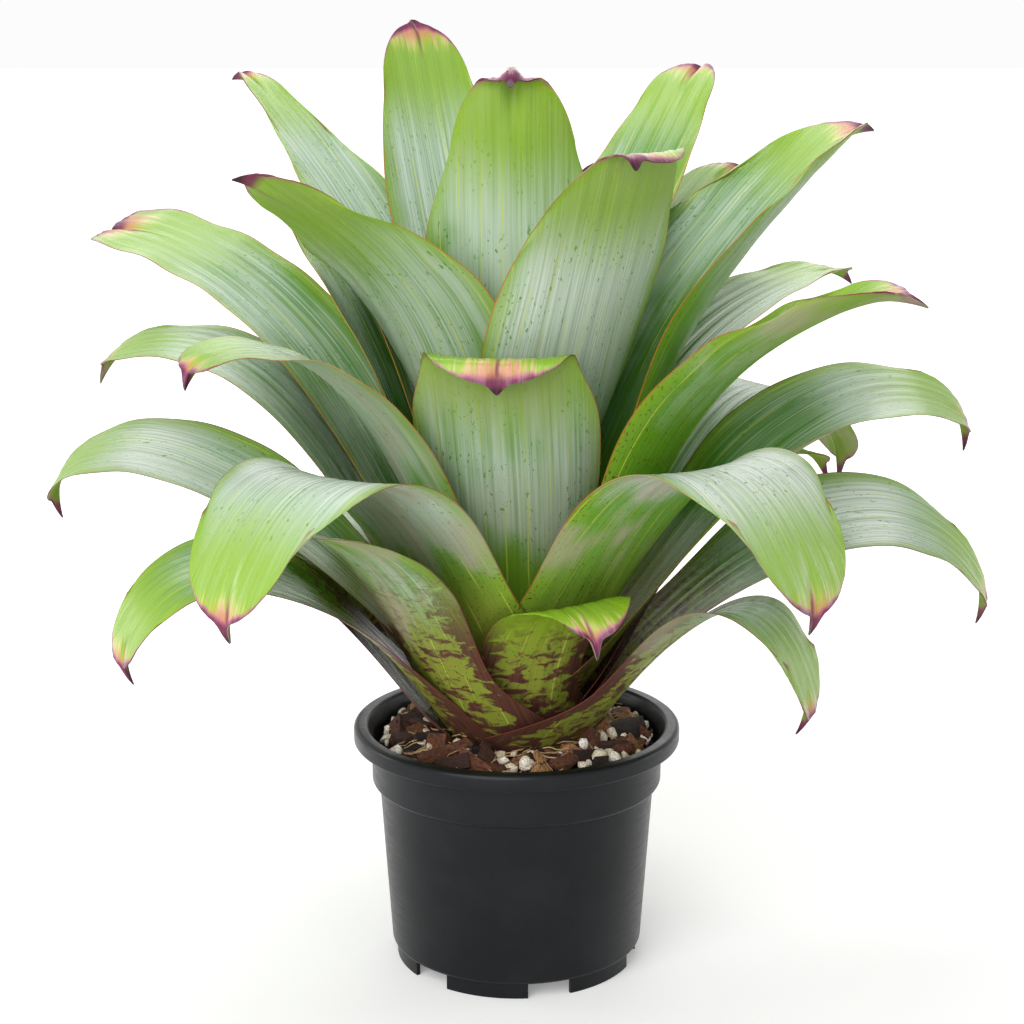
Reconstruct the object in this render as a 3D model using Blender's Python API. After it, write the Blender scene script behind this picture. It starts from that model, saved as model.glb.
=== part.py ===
"""A tank bromeliad in a squat plastic nursery pot.

The pot stands on six short feet, with the origin on the floor at the middle of the pot.
A short stem stands in the bark mix, and every strap leaf grows from it. The leaves are
listed from the outermost to the innermost: each one wraps the stem just inside the one
before it. Metres, +Z up, and the front of the plant faces -Y.
"""

from collections import namedtuple
from math import atan2, copysign, cos, exp, hypot, pi, radians, sin, sqrt

import bmesh
import bpy
from mathutils import Matrix, Vector, noise

# ---- driving dimensions -----------------------------------------------------------------

GAP = 0.0003                     # kept between touching pieces

POT_RADIUS = 0.100               # over the rolled rim
POT_HEIGHT = 0.150
POT_WALL = 0.0020
POT_SEGMENTS = 48
RIM_DROP = 0.0105                # the rolled rim's skirt
RIM_ROUND = 0.0030
RIM_UNDERCUT = 0.0045            # how far the skirt hangs free of the collar
SKIRT_ROUND = 0.0014
COLLAR_RADIUS = 0.0890           # the straight band under the rim
COLLAR_BOTTOM = 0.1155
COLLAR_ROUND = 0.0030
STEP_DROP = 0.0030               # height of the slope between collar and body
BODY_TOP_RADIUS = 0.0845
BODY_FOOT_RADIUS = 0.0778
BODY_ROUND = 0.0028              # at the bottom corner
FOOT_HEIGHT = 0.010
FOOT_RADIUS = 0.0748             # outside of the ring of feet
FOOT_WALL = 0.0026
FOOT_COUNT = 6
FOOT_ANGLE = 39.5                # degrees round the pot that one foot takes
FIRST_FOOT = -104.5              # azimuth of a foot's middle
FOOT_WEB = 0.0006                # left under the floor between two feet
DRAIN_RADIUS = 0.006
DRAIN_CIRCLE = 0.050
DRAIN_SEGMENTS = 16

MIX_EDGE_HEIGHT = 0.139          # top of the mix at the pot's wall
MIX_CROWN_HEIGHT = 0.1455        # and round the plant
MIX_RINGS = 6
WELL_RADIUS = 0.0490             # the hollow in the mix that the crown sits in
WELL_BOTTOM = 0.1350

STEM_BOTTOM = 0.1000
STEM_TOP = 0.2020
STEM_FOOT_RADIUS = 0.0410
STEM_ROOT_RADIUS = 0.0326        # where it ends in the mix
STEM_TIP_RADIUS = 0.0050
STEM_TIP_ROUND = 0.0040
STEM_CLEARANCE = 0.0016          # between the stem and the mix round it
STEM_SEGMENTS = 24

LEAF_THICKNESS = 0.0010
LEAF_COLUMNS = 4
LEAF_ROWS = 10
ROW_CROWDING = 1.25              # sets the rows closer towards the blade's end
OUTER_BASE = (0.0430, 0.1405)    # radius and height where the outermost leaf starts
INNER_BASE = (0.0105, 0.1960)    # and the innermost
SHEATH_WRAP = 48.0               # degrees each way that a leaf base wraps the stem
SHEATH_FLARE = 1.25              # width of the sheath, as a part of the blade's
FREE_FROM = 0.08                 # the sheath follows the stem round up to this part of the
FREE_BY = 0.60                   # length, and the blade is free of it from this part on
FLARE_END = 0.25                 # where the sheath's extra width ends, along the length
WAIST = 0.12                     # narrowing between the sheath and the blade
WAIST_SPAN = (0.12, 0.30, 0.55)  # where that narrowing starts, is deepest and ends
TAPER = 0.30                     # narrowing from the middle of the blade to its end
TAPER_FROM = 0.62                # where it starts, along the length
TAPER_SHARPNESS = 1.6            # above 1 keeps the blade wide for longer
END_ROUND = 0.62                 # how far the end is rounded, as a part of the width
CUSP_LENGTH = 0.010              # the small point at the end of a blade
CUSP_SPREAD = 0.16               # its half width, as a part of the blade's
END_SHARPNESS = 6.0              # above 1 keeps the rounding to the end; less on short blades
END_BOW = 0.97                   # just under 1, so the rounded end meets its sides at a slant
TROUGH_LOST = 0.85               # how much flatter the trough is at the blade's end
FREE_WRAP = 0.65                 # what a free blade keeps of the bend round the stem

BARK_SQUARENESS = 0.60           # below 1 pushes a round lump towards a block
BARK_ROUGHNESS = 0.16            # bumps, as a part of the lump's size
PERLITE_ROUGHNESS = 0.22
CHIP_CLEARANCE = 0.0005          # under a loose chip

# ---- leaves, outermost first ------------------------------------------------------------
# azimuth: degrees, 0 at +X and -90 at the front. reach, height: where the blade ends.
# rise, fall: the spine's lean from upright at its base and at its end, in degrees.
# arch: how far the spine keeps those two directions, as a part of the straight distance.
# width: of the blade. sway: sideways drift of the end. roll: turn of the blade about its
# spine, in degrees. trough: how far its edges rise, in degrees. curl, curled: how far the
# end bends back, in degrees, and over how much of the length.

Leaf = namedtuple("Leaf", "name azimuth reach height rise fall arch width sway roll trough "
                          "curl curled")

LEAVES = (
    Leaf("leaf_low_right_front", -29.5, 0.182, 0.172, 34, 172, 0.80, 0.076, 0.030, -6, 10, 10, 0.08),
    Leaf("leaf_low_left_inner", 174, 0.175, 0.246, 49, 114, 0.42, 0.062, 0.020, -10, 14, 20, 0.10),
    Leaf("leaf_low_left", 197, 0.242, 0.206, 29.5, 162, 0.54, 0.072, 0.000, -14, 14, 15, 0.08),
    Leaf("leaf_low_left_front", 229, 0.200, 0.304, 32, 84, 0.42, 0.080, 0.000, 0, 10, 15, 0.10),
    Leaf("leaf_low_back", 82, 0.187, 0.190, 43, 150, 0.60, 0.078, 0.000, 0, 10, 20, 0.08),
    Leaf("leaf_droop_right", 7, 0.300, 0.214, 38, 155, 0.48, 0.086, 0.000, 20, 26, 15, 0.07),
    Leaf("leaf_low_back_left", 130, 0.231, 0.200, 33, 145, 0.60, 0.078, 0.000, 0, 10, 20, 0.08),
    Leaf("leaf_short_front", -83, 0.120, 0.238, 22, 126, 0.47, 0.072, 0.030, 8, 10, 30, 0.12),
    Leaf("leaf_small_right_back", 30, 0.235, 0.292, 40, 110, 0.45, 0.060, 0.000, 0, 14, 20, 0.08),
    Leaf("leaf_droop_right_back", 36, 0.278, 0.284, 34, 140, 0.60, 0.076, 0.000, 0, 14, 20, 0.08),
    Leaf("leaf_droop_left", 168.5, 0.303, 0.278, 32, 150, 0.36, 0.084, 0.000, -14, 26, 20, 0.07),
    Leaf("leaf_mid_back", 101, 0.187, 0.270, 36, 135, 0.60, 0.086, 0.000, 0, 14, 20, 0.07),
    Leaf("leaf_arch_right", 6, 0.282, 0.330, 33, 130, 0.37, 0.090, 0.000, 14, 44, 25, 0.07),
    Leaf("leaf_arch_left", 171, 0.258, 0.370, 31, 112, 0.42, 0.084, 0.000, -8, 12, 20, 0.07),
    Leaf("leaf_droop_left_front", 231.5, 0.234, 0.262, 23.8, 158, 0.66, 0.112, -0.014, 0, 8, 12, 0.08),
    Leaf("leaf_arch_back", 90.5, 0.180, 0.355, 34, 115, 0.50, 0.074, 0.000, 0, 14, 20, 0.07),
    Leaf("leaf_droop_right_front", -47.5, 0.226, 0.262, 26, 158, 0.70, 0.112, 0.012, 0, 8, 12, 0.08),
    Leaf("leaf_reach_right", -21, 0.228, 0.426, 28, 70, 0.46, 0.110, 0.000, 0, 44, 15, 0.07),
    Leaf("leaf_upper_left_back", 153, 0.296, 0.443, 26, 84, 0.40, 0.080, 0.000, -12, 24, 15, 0.07),
    Leaf("leaf_upper_back", 119, 0.195, 0.425, 25.5, 85, 0.45, 0.078, 0.000, 0, 14, 15, 0.07),
    Leaf("leaf_reach_right_back", 39.2, 0.284, 0.411, 18.5, 86, 0.45, 0.078, 0.000, 0, 20, 15, 0.07),
    Leaf("leaf_arch_left_front", 205, 0.204, 0.384, 18, 110, 0.40, 0.092, 0.000, 0, 12, 20, 0.07),
    Leaf("leaf_upper_right_back", 50.5, 0.230, 0.482, 21.5, 62, 0.45, 0.080, 0.000, 0, 14, 15, 0.07),
    Leaf("leaf_strip_left", 160, 0.158, 0.478, 21, 40, 0.45, 0.084, 0.000, 0, 14, 15, 0.07),
    Leaf("leaf_front_cup", -94, 0.100, 0.409, 10, 22, 0.45, 0.112, -0.004, 0, 4, 150, 0.13),
    Leaf("leaf_upper_right", 21, 0.226, 0.512, 21.5, 51, 0.45, 0.138, 0.000, 0, 46, 15, 0.07),
    Leaf("leaf_tall_left_back", 138, 0.238, 0.543, 14.6, 54, 0.45, 0.078, 0.000, 0, 16, 20, 0.06),
    Leaf("leaf_upper_left_front", 204.5, 0.163, 0.484, 15, 62, 0.45, 0.130, 0.000, 16, 10, -10, 0.08),
    Leaf("leaf_tall_right_back", 56, 0.212, 0.547, 12, 46, 0.52, 0.074, 0.000, 0, 12, 20, 0.06),
    Leaf("leaf_front_right", -57, 0.122, 0.506, 9, 24, 0.45, 0.112, -0.011, 0, 8, 100, 0.035),
    Leaf("leaf_tall_back_left", 114.5, 0.154, 0.570, 7, 22, 0.45, 0.088, 0.000, 0, 8, 15, 0.06),
    Leaf("leaf_inner_left", 183, 0.066, 0.430, 4.6, 16, 0.45, 0.040, 0.000, 0, 14, 15, 0.06),
    Leaf("leaf_inner_back", 60, 0.080, 0.480, 7, 18, 0.45, 0.070, 0.000, 0, 10, 15, 0.06),
    Leaf("leaf_centre_front", -92.5, 0.066, 0.545, 5, 8, 0.45, 0.112, 0.000, 0, -8, 140, 0.032),
    Leaf("leaf_inner_right", 20, 0.034, 0.370, 1, 16, 0.45, 0.046, 0.000, 0, 18, 15, 0.06),
)

# ---- loose pieces on top of the mix -----------------------------------------------------
# azimuth and radius: where each one lies. length, breadth, depth: its size. turn: degrees
# about the upright axis.

Chip = namedtuple("Chip", "name azimuth radius length breadth depth turn")

BARK_CHIPS = (
    Chip("bark_chip_1", -131, 0.0700, 0.025, 0.013, 0.0070, 24),
    Chip("bark_chip_2", -101, 0.0735, 0.016, 0.010, 0.0060, -12),
    Chip("bark_chip_3", -66, 0.0690, 0.019, 0.012, 0.0065, 60),
    Chip("bark_chip_4", -28, 0.0710, 0.017, 0.011, 0.0070, 95),
    Chip("bark_chip_5", 21, 0.0700, 0.020, 0.012, 0.0060, 70),
    Chip("bark_chip_6", 82, 0.0705, 0.021, 0.012, 0.0065, -8),
    Chip("bark_chip_7", 143, 0.0710, 0.018, 0.012, 0.0060, 30),
    Chip("bark_chip_8", -163, 0.0715, 0.020, 0.011, 0.0070, 112),
)
PERLITE_LUMPS = (
    Chip("perlite_1", -114, 0.0655, 0.009, 0.008, 0.0070, 15),
    Chip("perlite_2", -85, 0.0690, 0.010, 0.008, 0.0075, 50),
    Chip("perlite_3", -46, 0.0715, 0.010, 0.009, 0.0075, 80),
    Chip("perlite_4", -4, 0.0700, 0.009, 0.008, 0.0070, 10),
    Chip("perlite_5", 52, 0.0720, 0.010, 0.008, 0.0070, 35),
    Chip("perlite_6", 113, 0.0700, 0.010, 0.009, 0.0075, 65),
    Chip("perlite_7", 171, 0.0705, 0.009, 0.008, 0.0070, 20),
)


# ---- leaf geometry ----------------------------------------------------------------------

def smooth(edge0, edge1, x):
    """0 below edge0, 1 above edge1, and a smooth rise between them."""
    t = min(1.0, max(0.0, (x - edge0) / (edge1 - edge0)))
    return t * t * (3.0 - 2.0 * t)


def mix(a, b, t):
    return a + (b - a) * t


def spine(leaf, rank, steps=60):
    """The middle line of a blade in its own upright plane.

    Returns the length and a list of (radius, height, lean) at even steps of length.
    """
    r0 = mix(OUTER_BASE[0], INNER_BASE[0], rank)
    z0 = mix(OUTER_BASE[1], INNER_BASE[1], rank)
    rise, fall = radians(leaf.rise), radians(leaf.fall)
    handle = leaf.arch * hypot(leaf.reach - r0, leaf.height - z0)
    p0 = Vector((r0, z0))
    p1 = p0 + handle * Vector((sin(rise), cos(rise)))
    p3 = Vector((leaf.reach, leaf.height))
    p2 = p3 - handle * Vector((sin(fall), cos(fall)))

    fine = 400
    points = []
    for i in range(fine + 1):
        t = i / fine
        k = 1.0 - t
        points.append(k * k * k * p0 + 3 * k * k * t * p1 + 3 * k * t * t * p2 + t * t * t * p3)
    travelled = [0.0]
    for a, b in zip(points, points[1:]):
        travelled.append(travelled[-1] + (b - a).length)
    length = travelled[-1]

    leans = []
    at = 0
    for step in range(steps + 1):
        target = length * step / steps
        while at < fine - 1 and travelled[at + 1] < target:
            at += 1
        run = points[at + 1] - points[at]
        lean = atan2(run.x, run.y)
        turn_back = smooth(1.0 - leaf.curled, 1.0 + 0.5 * leaf.curled, step / steps) * 2.0
        leans.append(lean + radians(leaf.curl) * min(1.0, turn_back))

    line = [(r0, z0, leans[0])]
    for step in range(1, steps + 1):
        lean = 0.5 * (leans[step - 1] + leans[step])
        r, z, _ = line[-1]
        line.append((r + sin(lean) * length / steps, z + cos(lean) * length / steps, leans[step]))
    return length, line


def along_spine(length, line, s):
    """The spine's radius, height and lean at the fraction s of its length, or past its end."""
    steps = len(line) - 1
    if s >= 1.0:
        r, z, lean = line[-1]
        return r + sin(lean) * (s - 1.0) * length, z + cos(lean) * (s - 1.0) * length, lean
    at = min(steps - 1, int(s * steps))
    part = s * steps - at
    return tuple(mix(a, b, part) for a, b in zip(line[at], line[at + 1]))


def leaf_point(leaf, length, line, u, t):
    """A point of the blade's middle surface: u from -1 to 1 across it, t from 0 to 1 along it."""
    end_round = END_ROUND * leaf.width / length
    bow = 1.0 - sqrt(1.0 - END_BOW * u * u)
    s = t - end_round * bow * t ** min(END_SHARPNESS, 1.0 / end_round)
    s += CUSP_LENGTH / length * exp(-(u / CUSP_SPREAD) ** 2) * t ** 24
    r, z, lean = along_spine(length, line, s)

    blade = 0.5 * leaf.width * mix(SHEATH_FLARE, 1.0, smooth(0.0, FLARE_END, t))
    waist_from, waist_at, waist_to = WAIST_SPAN
    narrowed = smooth(waist_from, waist_at, t) * (1.0 - smooth(waist_at, waist_to, t))
    blade *= 1.0 - WAIST * narrowed
    blade *= 1.0 - TAPER * smooth(TAPER_FROM, 1.0, t) ** TAPER_SHARPNESS
    around = max(r, INNER_BASE[0])
    half = min(blade, radians(SHEATH_WRAP) * around)
    free = smooth(FREE_FROM, FREE_BY, t)

    wrap = half * cos(lean) / around * mix(1.0, FREE_WRAP, free)
    flatter = TROUGH_LOST * smooth(0.5, 0.95, t)
    turn = wrap + radians(leaf.trough) * free * (1.0 - flatter)
    if abs(turn) < 0.001:
        across, lift = u * half, 0.0
    else:
        across = half * sin(turn * u) / turn
        lift = half * (1.0 - cos(turn * u)) / turn
    roll = radians(leaf.roll) * free
    side = across * cos(roll) - lift * sin(roll) + leaf.sway * t * t
    up = across * sin(roll) + lift * cos(roll)
    blade_r = r - up * cos(lean)
    blade_z = z + up * sin(lean)

    a = radians(leaf.azimuth)
    blade_point = Vector((blade_r * cos(a) - side * sin(a), blade_r * sin(a) + side * cos(a),
                          blade_z))
    b = a + (u * half + leaf.sway * t * t) / around
    sheath_point = Vector((r * cos(b), r * sin(b), z))
    return sheath_point.lerp(blade_point, free)


# ---- shared helpers ---------------------------------------------------------------------

def clear_scene():
    for thing in list(bpy.data.objects):
        bpy.data.objects.remove(thing, do_unlink=True)


def material(name, colour, roughness):
    made = bpy.data.materials.new(name)
    made.use_nodes = True
    shader = made.node_tree.nodes["Principled BSDF"]
    shader.inputs["Base Color"].default_value = (*colour, 1.0)
    shader.inputs["Roughness"].default_value = roughness
    shader.inputs["Metallic"].default_value = 0.0
    made.diffuse_color = (*colour, 1.0)
    return made


def add_object(name, bm, finish, sharp_angle=40.0):
    mesh = bpy.data.meshes.new(name)
    bm.to_mesh(mesh)
    bm.free()
    made = bpy.data.objects.new(name, mesh)
    made.data.materials.append(finish)
    bpy.context.collection.objects.link(made)
    mesh.shade_smooth()
    mesh.set_sharp_from_angle(angle=radians(sharp_angle))
    return made


def turned(profile, segments):
    """A closed outline of (radius, height) spun once round the Z axis."""
    bm = bmesh.new()
    corners = [bm.verts.new((r, 0.0, z)) for r, z in profile]
    edges = [bm.edges.new(pair) for pair in zip(corners, corners[1:])]
    if profile[0][0] > 0.0:
        edges.append(bm.edges.new((corners[-1], corners[0])))
    bmesh.ops.spin(bm, geom=corners + edges, axis=(0, 0, 1), cent=(0, 0, 0),
                   angle=2 * pi, steps=segments, use_merge=True)
    bmesh.ops.remove_doubles(bm, verts=bm.verts, dist=0.00001)
    bmesh.ops.recalc_face_normals(bm, faces=bm.faces)
    return bm


def arc(centre_r, centre_z, radius, start, stop, steps):
    """Points of a round stretch of a profile, by angle in degrees."""
    angles = [radians(mix(start, stop, i / steps)) for i in range(steps + 1)]
    return [(centre_r + radius * cos(a), centre_z + radius * sin(a)) for a in angles]


def cut(body, cutter):
    cutter.hide_render = True
    cutter.display_type = "WIRE"
    modifier = body.modifiers.new("cut_" + cutter.name, "BOOLEAN")
    modifier.operation = "DIFFERENCE"
    modifier.solver = "EXACT"
    modifier.object = cutter


# ---- pot --------------------------------------------------------------------------------

def pot_profile():
    """The pot in section, from the axis out along its underside, up, over and back inside."""
    skirt = POT_HEIGHT - RIM_DROP
    collar_in = COLLAR_RADIUS - POT_WALL
    floor_top = FOOT_HEIGHT + POT_WALL
    inner_foot = BODY_FOOT_RADIUS - POT_WALL
    step_low = COLLAR_BOTTOM - STEP_DROP
    return [
        (0.0, FOOT_HEIGHT),
        (FOOT_RADIUS - FOOT_WALL, FOOT_HEIGHT),
        (FOOT_RADIUS - FOOT_WALL, 0.0),
        (FOOT_RADIUS, 0.0),
        (FOOT_RADIUS, FOOT_HEIGHT - 0.0010),
        *arc(BODY_FOOT_RADIUS - BODY_ROUND, floor_top, BODY_ROUND, -75, 0, 3),
        (BODY_TOP_RADIUS, step_low),
        *arc(COLLAR_RADIUS - COLLAR_ROUND - 0.0002, COLLAR_BOTTOM + 0.0006, COLLAR_ROUND,
             -60, 0, 3),
        (COLLAR_RADIUS, skirt + RIM_UNDERCUT),
        (POT_RADIUS - RIM_ROUND, skirt + RIM_UNDERCUT),
        *arc(POT_RADIUS - SKIRT_ROUND, skirt + SKIRT_ROUND, SKIRT_ROUND, -170, 0, 3),
        *arc(POT_RADIUS - RIM_ROUND, POT_HEIGHT - RIM_ROUND, RIM_ROUND, 0, 90, 4),
        *arc(POT_RADIUS - RIM_ROUND - 0.0032, POT_HEIGHT - RIM_ROUND, RIM_ROUND, 90, 160, 3),
        (collar_in + 0.0012, POT_HEIGHT - 0.0075),
        (collar_in, POT_HEIGHT - 0.0120),
        (collar_in, COLLAR_BOTTOM + 0.0020),
        (BODY_TOP_RADIUS - POT_WALL, step_low),
        (inner_foot, floor_top + 0.0030),
        (inner_foot - 0.0030, floor_top),
        (0.0, floor_top),
    ]


def make_pot(finish):
    """Turned in one profile, then the gaps between the feet and the drain holes are cut."""
    pot = add_object("pot", turned(pot_profile(), POT_SEGMENTS), finish)
    pitch = 360.0 / FOOT_COUNT
    between = [radians(FIRST_FOOT + pitch * (i + 0.5)) for i in range(FOOT_COUNT)]

    gaps = bmesh.new()
    width = 2.0 * FOOT_RADIUS * sin(radians(pitch - FOOT_ANGLE) / 2.0)
    block = Matrix.Diagonal((0.020, width, 2.0 * (FOOT_HEIGHT - 2.0 * FOOT_WEB), 1.0))
    for a in between:
        place = Matrix.Rotation(a, 4, "Z") @ Matrix.Translation((FOOT_RADIUS, 0.0, 0.0))
        bmesh.ops.create_cube(gaps, size=1.0, matrix=place @ block)
    cut(pot, add_object("foot_gap_cutter", gaps, finish))

    holes = bmesh.new()
    centres = [(DRAIN_CIRCLE * cos(a), DRAIN_CIRCLE * sin(a)) for a in between] + [(0.0, 0.0)]
    for x, y in centres:
        bmesh.ops.create_cone(holes, cap_ends=True, segments=DRAIN_SEGMENTS,
                              radius1=DRAIN_RADIUS, radius2=DRAIN_RADIUS, depth=0.012,
                              matrix=Matrix.Translation((x, y, FOOT_HEIGHT)))
    cut(pot, add_object("drain_hole_cutter", holes, finish))


# ---- potting mix, stem and loose pieces -------------------------------------------------

def mix_height(r):
    """Top of the mix at a distance from the pot's axis, gently mounded at the crown."""
    return mix(MIX_CROWN_HEIGHT, MIX_EDGE_HEIGHT, smooth(WELL_RADIUS, COLLAR_RADIUS, r))


def make_mix(finish):
    """Fills the pot, with a hollow at the middle for the crown and the stem's root end."""
    wall = POT_WALL + GAP
    edge = COLLAR_RADIUS - wall
    inner_foot = BODY_FOOT_RADIUS - wall
    rings = [mix(edge, WELL_RADIUS, i / MIX_RINGS) for i in range(MIX_RINGS + 1)]
    profile = [
        (0.0, FOOT_HEIGHT + wall),
        (inner_foot - 0.0034, FOOT_HEIGHT + wall),
        (inner_foot, FOOT_HEIGHT + wall + 0.0032),
        (BODY_TOP_RADIUS - wall, COLLAR_BOTTOM - STEP_DROP),
        (edge, COLLAR_BOTTOM + 0.0024),
        *[(r, mix_height(r)) for r in rings],
        (WELL_RADIUS, WELL_BOTTOM),
        (STEM_FOOT_RADIUS + STEM_CLEARANCE, WELL_BOTTOM),
        (STEM_ROOT_RADIUS + STEM_CLEARANCE, STEM_BOTTOM - GAP),
        (0.0, STEM_BOTTOM - GAP),
    ]
    add_object("potting_mix", turned(profile, POT_SEGMENTS), finish)


def make_stem(finish):
    """The woody stump that carries the leaves: a blunt cone, narrower under the crown."""
    profile = [
        (0.0, STEM_BOTTOM),
        (STEM_ROOT_RADIUS, STEM_BOTTOM),
        (STEM_FOOT_RADIUS, WELL_BOTTOM),
        (STEM_TIP_RADIUS, STEM_TOP),
        (0.0, STEM_TOP + STEM_TIP_ROUND),
    ]
    add_object("stem", turned(profile, STEM_SEGMENTS), finish)


def make_chip(chip, finish, squareness, roughness):
    """A lump squared off and roughened, let down until it rests on the mix."""
    bm = bmesh.new()
    bmesh.ops.create_icosphere(bm, subdivisions=2, radius=1.0)
    half = Vector((chip.length, chip.breadth, chip.depth)) / 2.0
    a = radians(chip.azimuth)
    centre = Vector((chip.radius * cos(a), chip.radius * sin(a), 0.0))
    turn = Matrix.Rotation(radians(chip.turn), 3, "Z")
    for vert in bm.verts:
        squared = Vector([copysign(abs(c) ** squareness, c) for c in vert.co])
        bump = 1.0 + roughness * noise.noise(vert.co * 1.7 + centre * 100.0)
        vert.co = centre + turn @ (squared * half * bump)
    drop = min(vert.co.z - mix_height(hypot(vert.co.x, vert.co.y)) for vert in bm.verts)
    bmesh.ops.translate(bm, vec=(0.0, 0.0, CHIP_CLEARANCE - drop), verts=bm.verts)
    add_object(chip.name, bm, finish)


# ---- leaves -----------------------------------------------------------------------------

def make_leaf(leaf, rank, finish):
    """A flat grid bent into the blade, then given its thickness both ways."""
    length, line = spine(leaf, rank)
    bm = bmesh.new()
    bmesh.ops.create_grid(bm, x_segments=LEAF_COLUMNS, y_segments=LEAF_ROWS, size=1.0)
    for vert in bm.verts:
        t = 1.0 - ((1.0 - vert.co.y) / 2.0) ** ROW_CROWDING
        vert.co = leaf_point(leaf, length, line, vert.co.x, t)
    made = add_object(leaf.name, bm, finish, sharp_angle=70.0)
    skin = made.modifiers.new("thickness", "SOLIDIFY")
    skin.thickness = LEAF_THICKNESS
    skin.offset = 0.0


def main():
    clear_scene()
    make_pot(material("pot_black_plastic", (0.016, 0.017, 0.019), 0.42))
    make_mix(material("potting_mix_bark", (0.060, 0.028, 0.016), 0.90))
    make_stem(material("stem_wood", (0.20, 0.14, 0.07), 0.75))
    for chip in BARK_CHIPS:
        bark = material(chip.name + "_bark", (0.085, 0.036, 0.020), 0.85)
        make_chip(chip, bark, BARK_SQUARENESS, BARK_ROUGHNESS)
    for chip in PERLITE_LUMPS:
        perlite = material(chip.name + "_perlite", (0.66, 0.60, 0.50), 0.90)
        make_chip(chip, perlite, 1.0, PERLITE_ROUGHNESS)
    for place, leaf in enumerate(LEAVES):
        rank = place / (len(LEAVES) - 1)
        green = (mix(0.13, 0.19, rank), mix(0.20, 0.30, rank), mix(0.10, 0.12, rank))
        make_leaf(leaf, rank, material(leaf.name + "_green", green, 0.38))


main()
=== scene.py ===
"""Fine leaves, pot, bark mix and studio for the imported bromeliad.

Every leaf is one blade bent from a flat grid by the same rule and the same measures as the
packed leaf it stands for. The frame is loaded first, and the pieces are made by operators
that the panel lists.
"""

from collections import namedtuple
from functools import partial
from math import atan2, copysign, cos, degrees, exp, hypot, pi, radians, sin, sqrt
from random import Random

import bmesh
import bpy
from bpy.props import FloatProperty, FloatVectorProperty, IntProperty, PointerProperty
from mathutils import Euler, Matrix, Vector, noise


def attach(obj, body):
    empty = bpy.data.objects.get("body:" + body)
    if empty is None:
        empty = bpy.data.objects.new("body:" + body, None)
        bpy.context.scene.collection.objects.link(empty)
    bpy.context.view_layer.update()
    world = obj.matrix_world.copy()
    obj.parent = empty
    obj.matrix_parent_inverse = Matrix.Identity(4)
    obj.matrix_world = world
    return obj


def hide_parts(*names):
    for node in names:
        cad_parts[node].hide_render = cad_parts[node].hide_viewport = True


bl_info = {
    "name": "Potted bromeliad",
    "version": (1, 0, 0),
    "blender": (4, 5, 0),
    "location": "3D View > Sidebar > Bromeliad",
    "description": "Dresses a packed bromeliad with fine leaves, bark mix and a moulded pot",
    "category": "Object",
}

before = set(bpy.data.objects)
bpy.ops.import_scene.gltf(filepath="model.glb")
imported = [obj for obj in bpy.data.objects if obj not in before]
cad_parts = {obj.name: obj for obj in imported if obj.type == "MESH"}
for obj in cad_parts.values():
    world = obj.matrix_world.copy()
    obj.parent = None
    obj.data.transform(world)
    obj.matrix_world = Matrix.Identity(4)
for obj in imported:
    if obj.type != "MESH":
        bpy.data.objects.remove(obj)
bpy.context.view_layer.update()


# ---- colour ---------------------------------------------------------------------------------

def linear(hex_colour):
    """An sRGB hex value as the linear RGBA that shaders use."""
    channels = [int(hex_colour[i:i + 2], 16) / 255.0 for i in (1, 3, 5)]
    bent = [c / 12.92 if c <= 0.04045 else ((c + 0.055) / 1.055) ** 2.4 for c in channels]
    return (*bent, 1.0)


# ---- measures of the pot, the mix and the leaves --------------------------------------------

POT_RADIUS = 0.100               # over the rolled rim
POT_HEIGHT = 0.150
POT_WALL = 0.0020
POT_SEGMENTS = 192
RIM_DROP = 0.0105                # the rolled rim's skirt
RIM_ROUND = 0.0030
RIM_UNDERCUT = 0.0045            # how far the skirt hangs free of the collar
SKIRT_ROUND = 0.0014
COLLAR_RADIUS = 0.0890           # the straight band under the rim
COLLAR_BOTTOM = 0.1155
COLLAR_ROUND = 0.0030
STEP_DROP = 0.0030               # height of the slope between collar and body
BODY_TOP_RADIUS = 0.0845
BODY_FOOT_RADIUS = 0.0778
BODY_ROUND = 0.0028              # at the bottom corner
FOOT_HEIGHT = 0.010
FOOT_RADIUS = 0.0748             # outside of the ring of feet
FOOT_WALL = 0.0026
FOOT_COUNT = 6
FOOT_ANGLE = 39.5                # degrees round the pot that one foot takes
FIRST_FOOT = -104.5              # azimuth of a foot's middle
FOOT_SUNK = 0.0010               # how far a foot reaches up into the floor
DRAIN_RADIUS = 0.006
DRAIN_CIRCLE = 0.050
DRILL_SPARE = 0.002              # how far a drill passes the floor, above and below

MIX_EDGE_HEIGHT = 0.139          # top of the mix at the pot's wall
MIX_CROWN_HEIGHT = 0.1455        # and round the plant
MIX_CLEARANCE = 0.0004           # between the mix and the pot's wall
COLLAR_CLEARANCE = 0.0003        # and between it and the collar
BED_ROUND = 0.0032               # cut off the bed's lower edge
BED_FLAT = 0.0440                # inside this radius the bed's top is flat
WELL_RADIUS = 0.0490             # the hollow in the mix that the crown sits in
LOOSE_FROM = 0.0500              # bark and perlite lie from this far out
LOOSE_RADIUS = 0.0862            # to this far out, and crumbs from the well on

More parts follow.
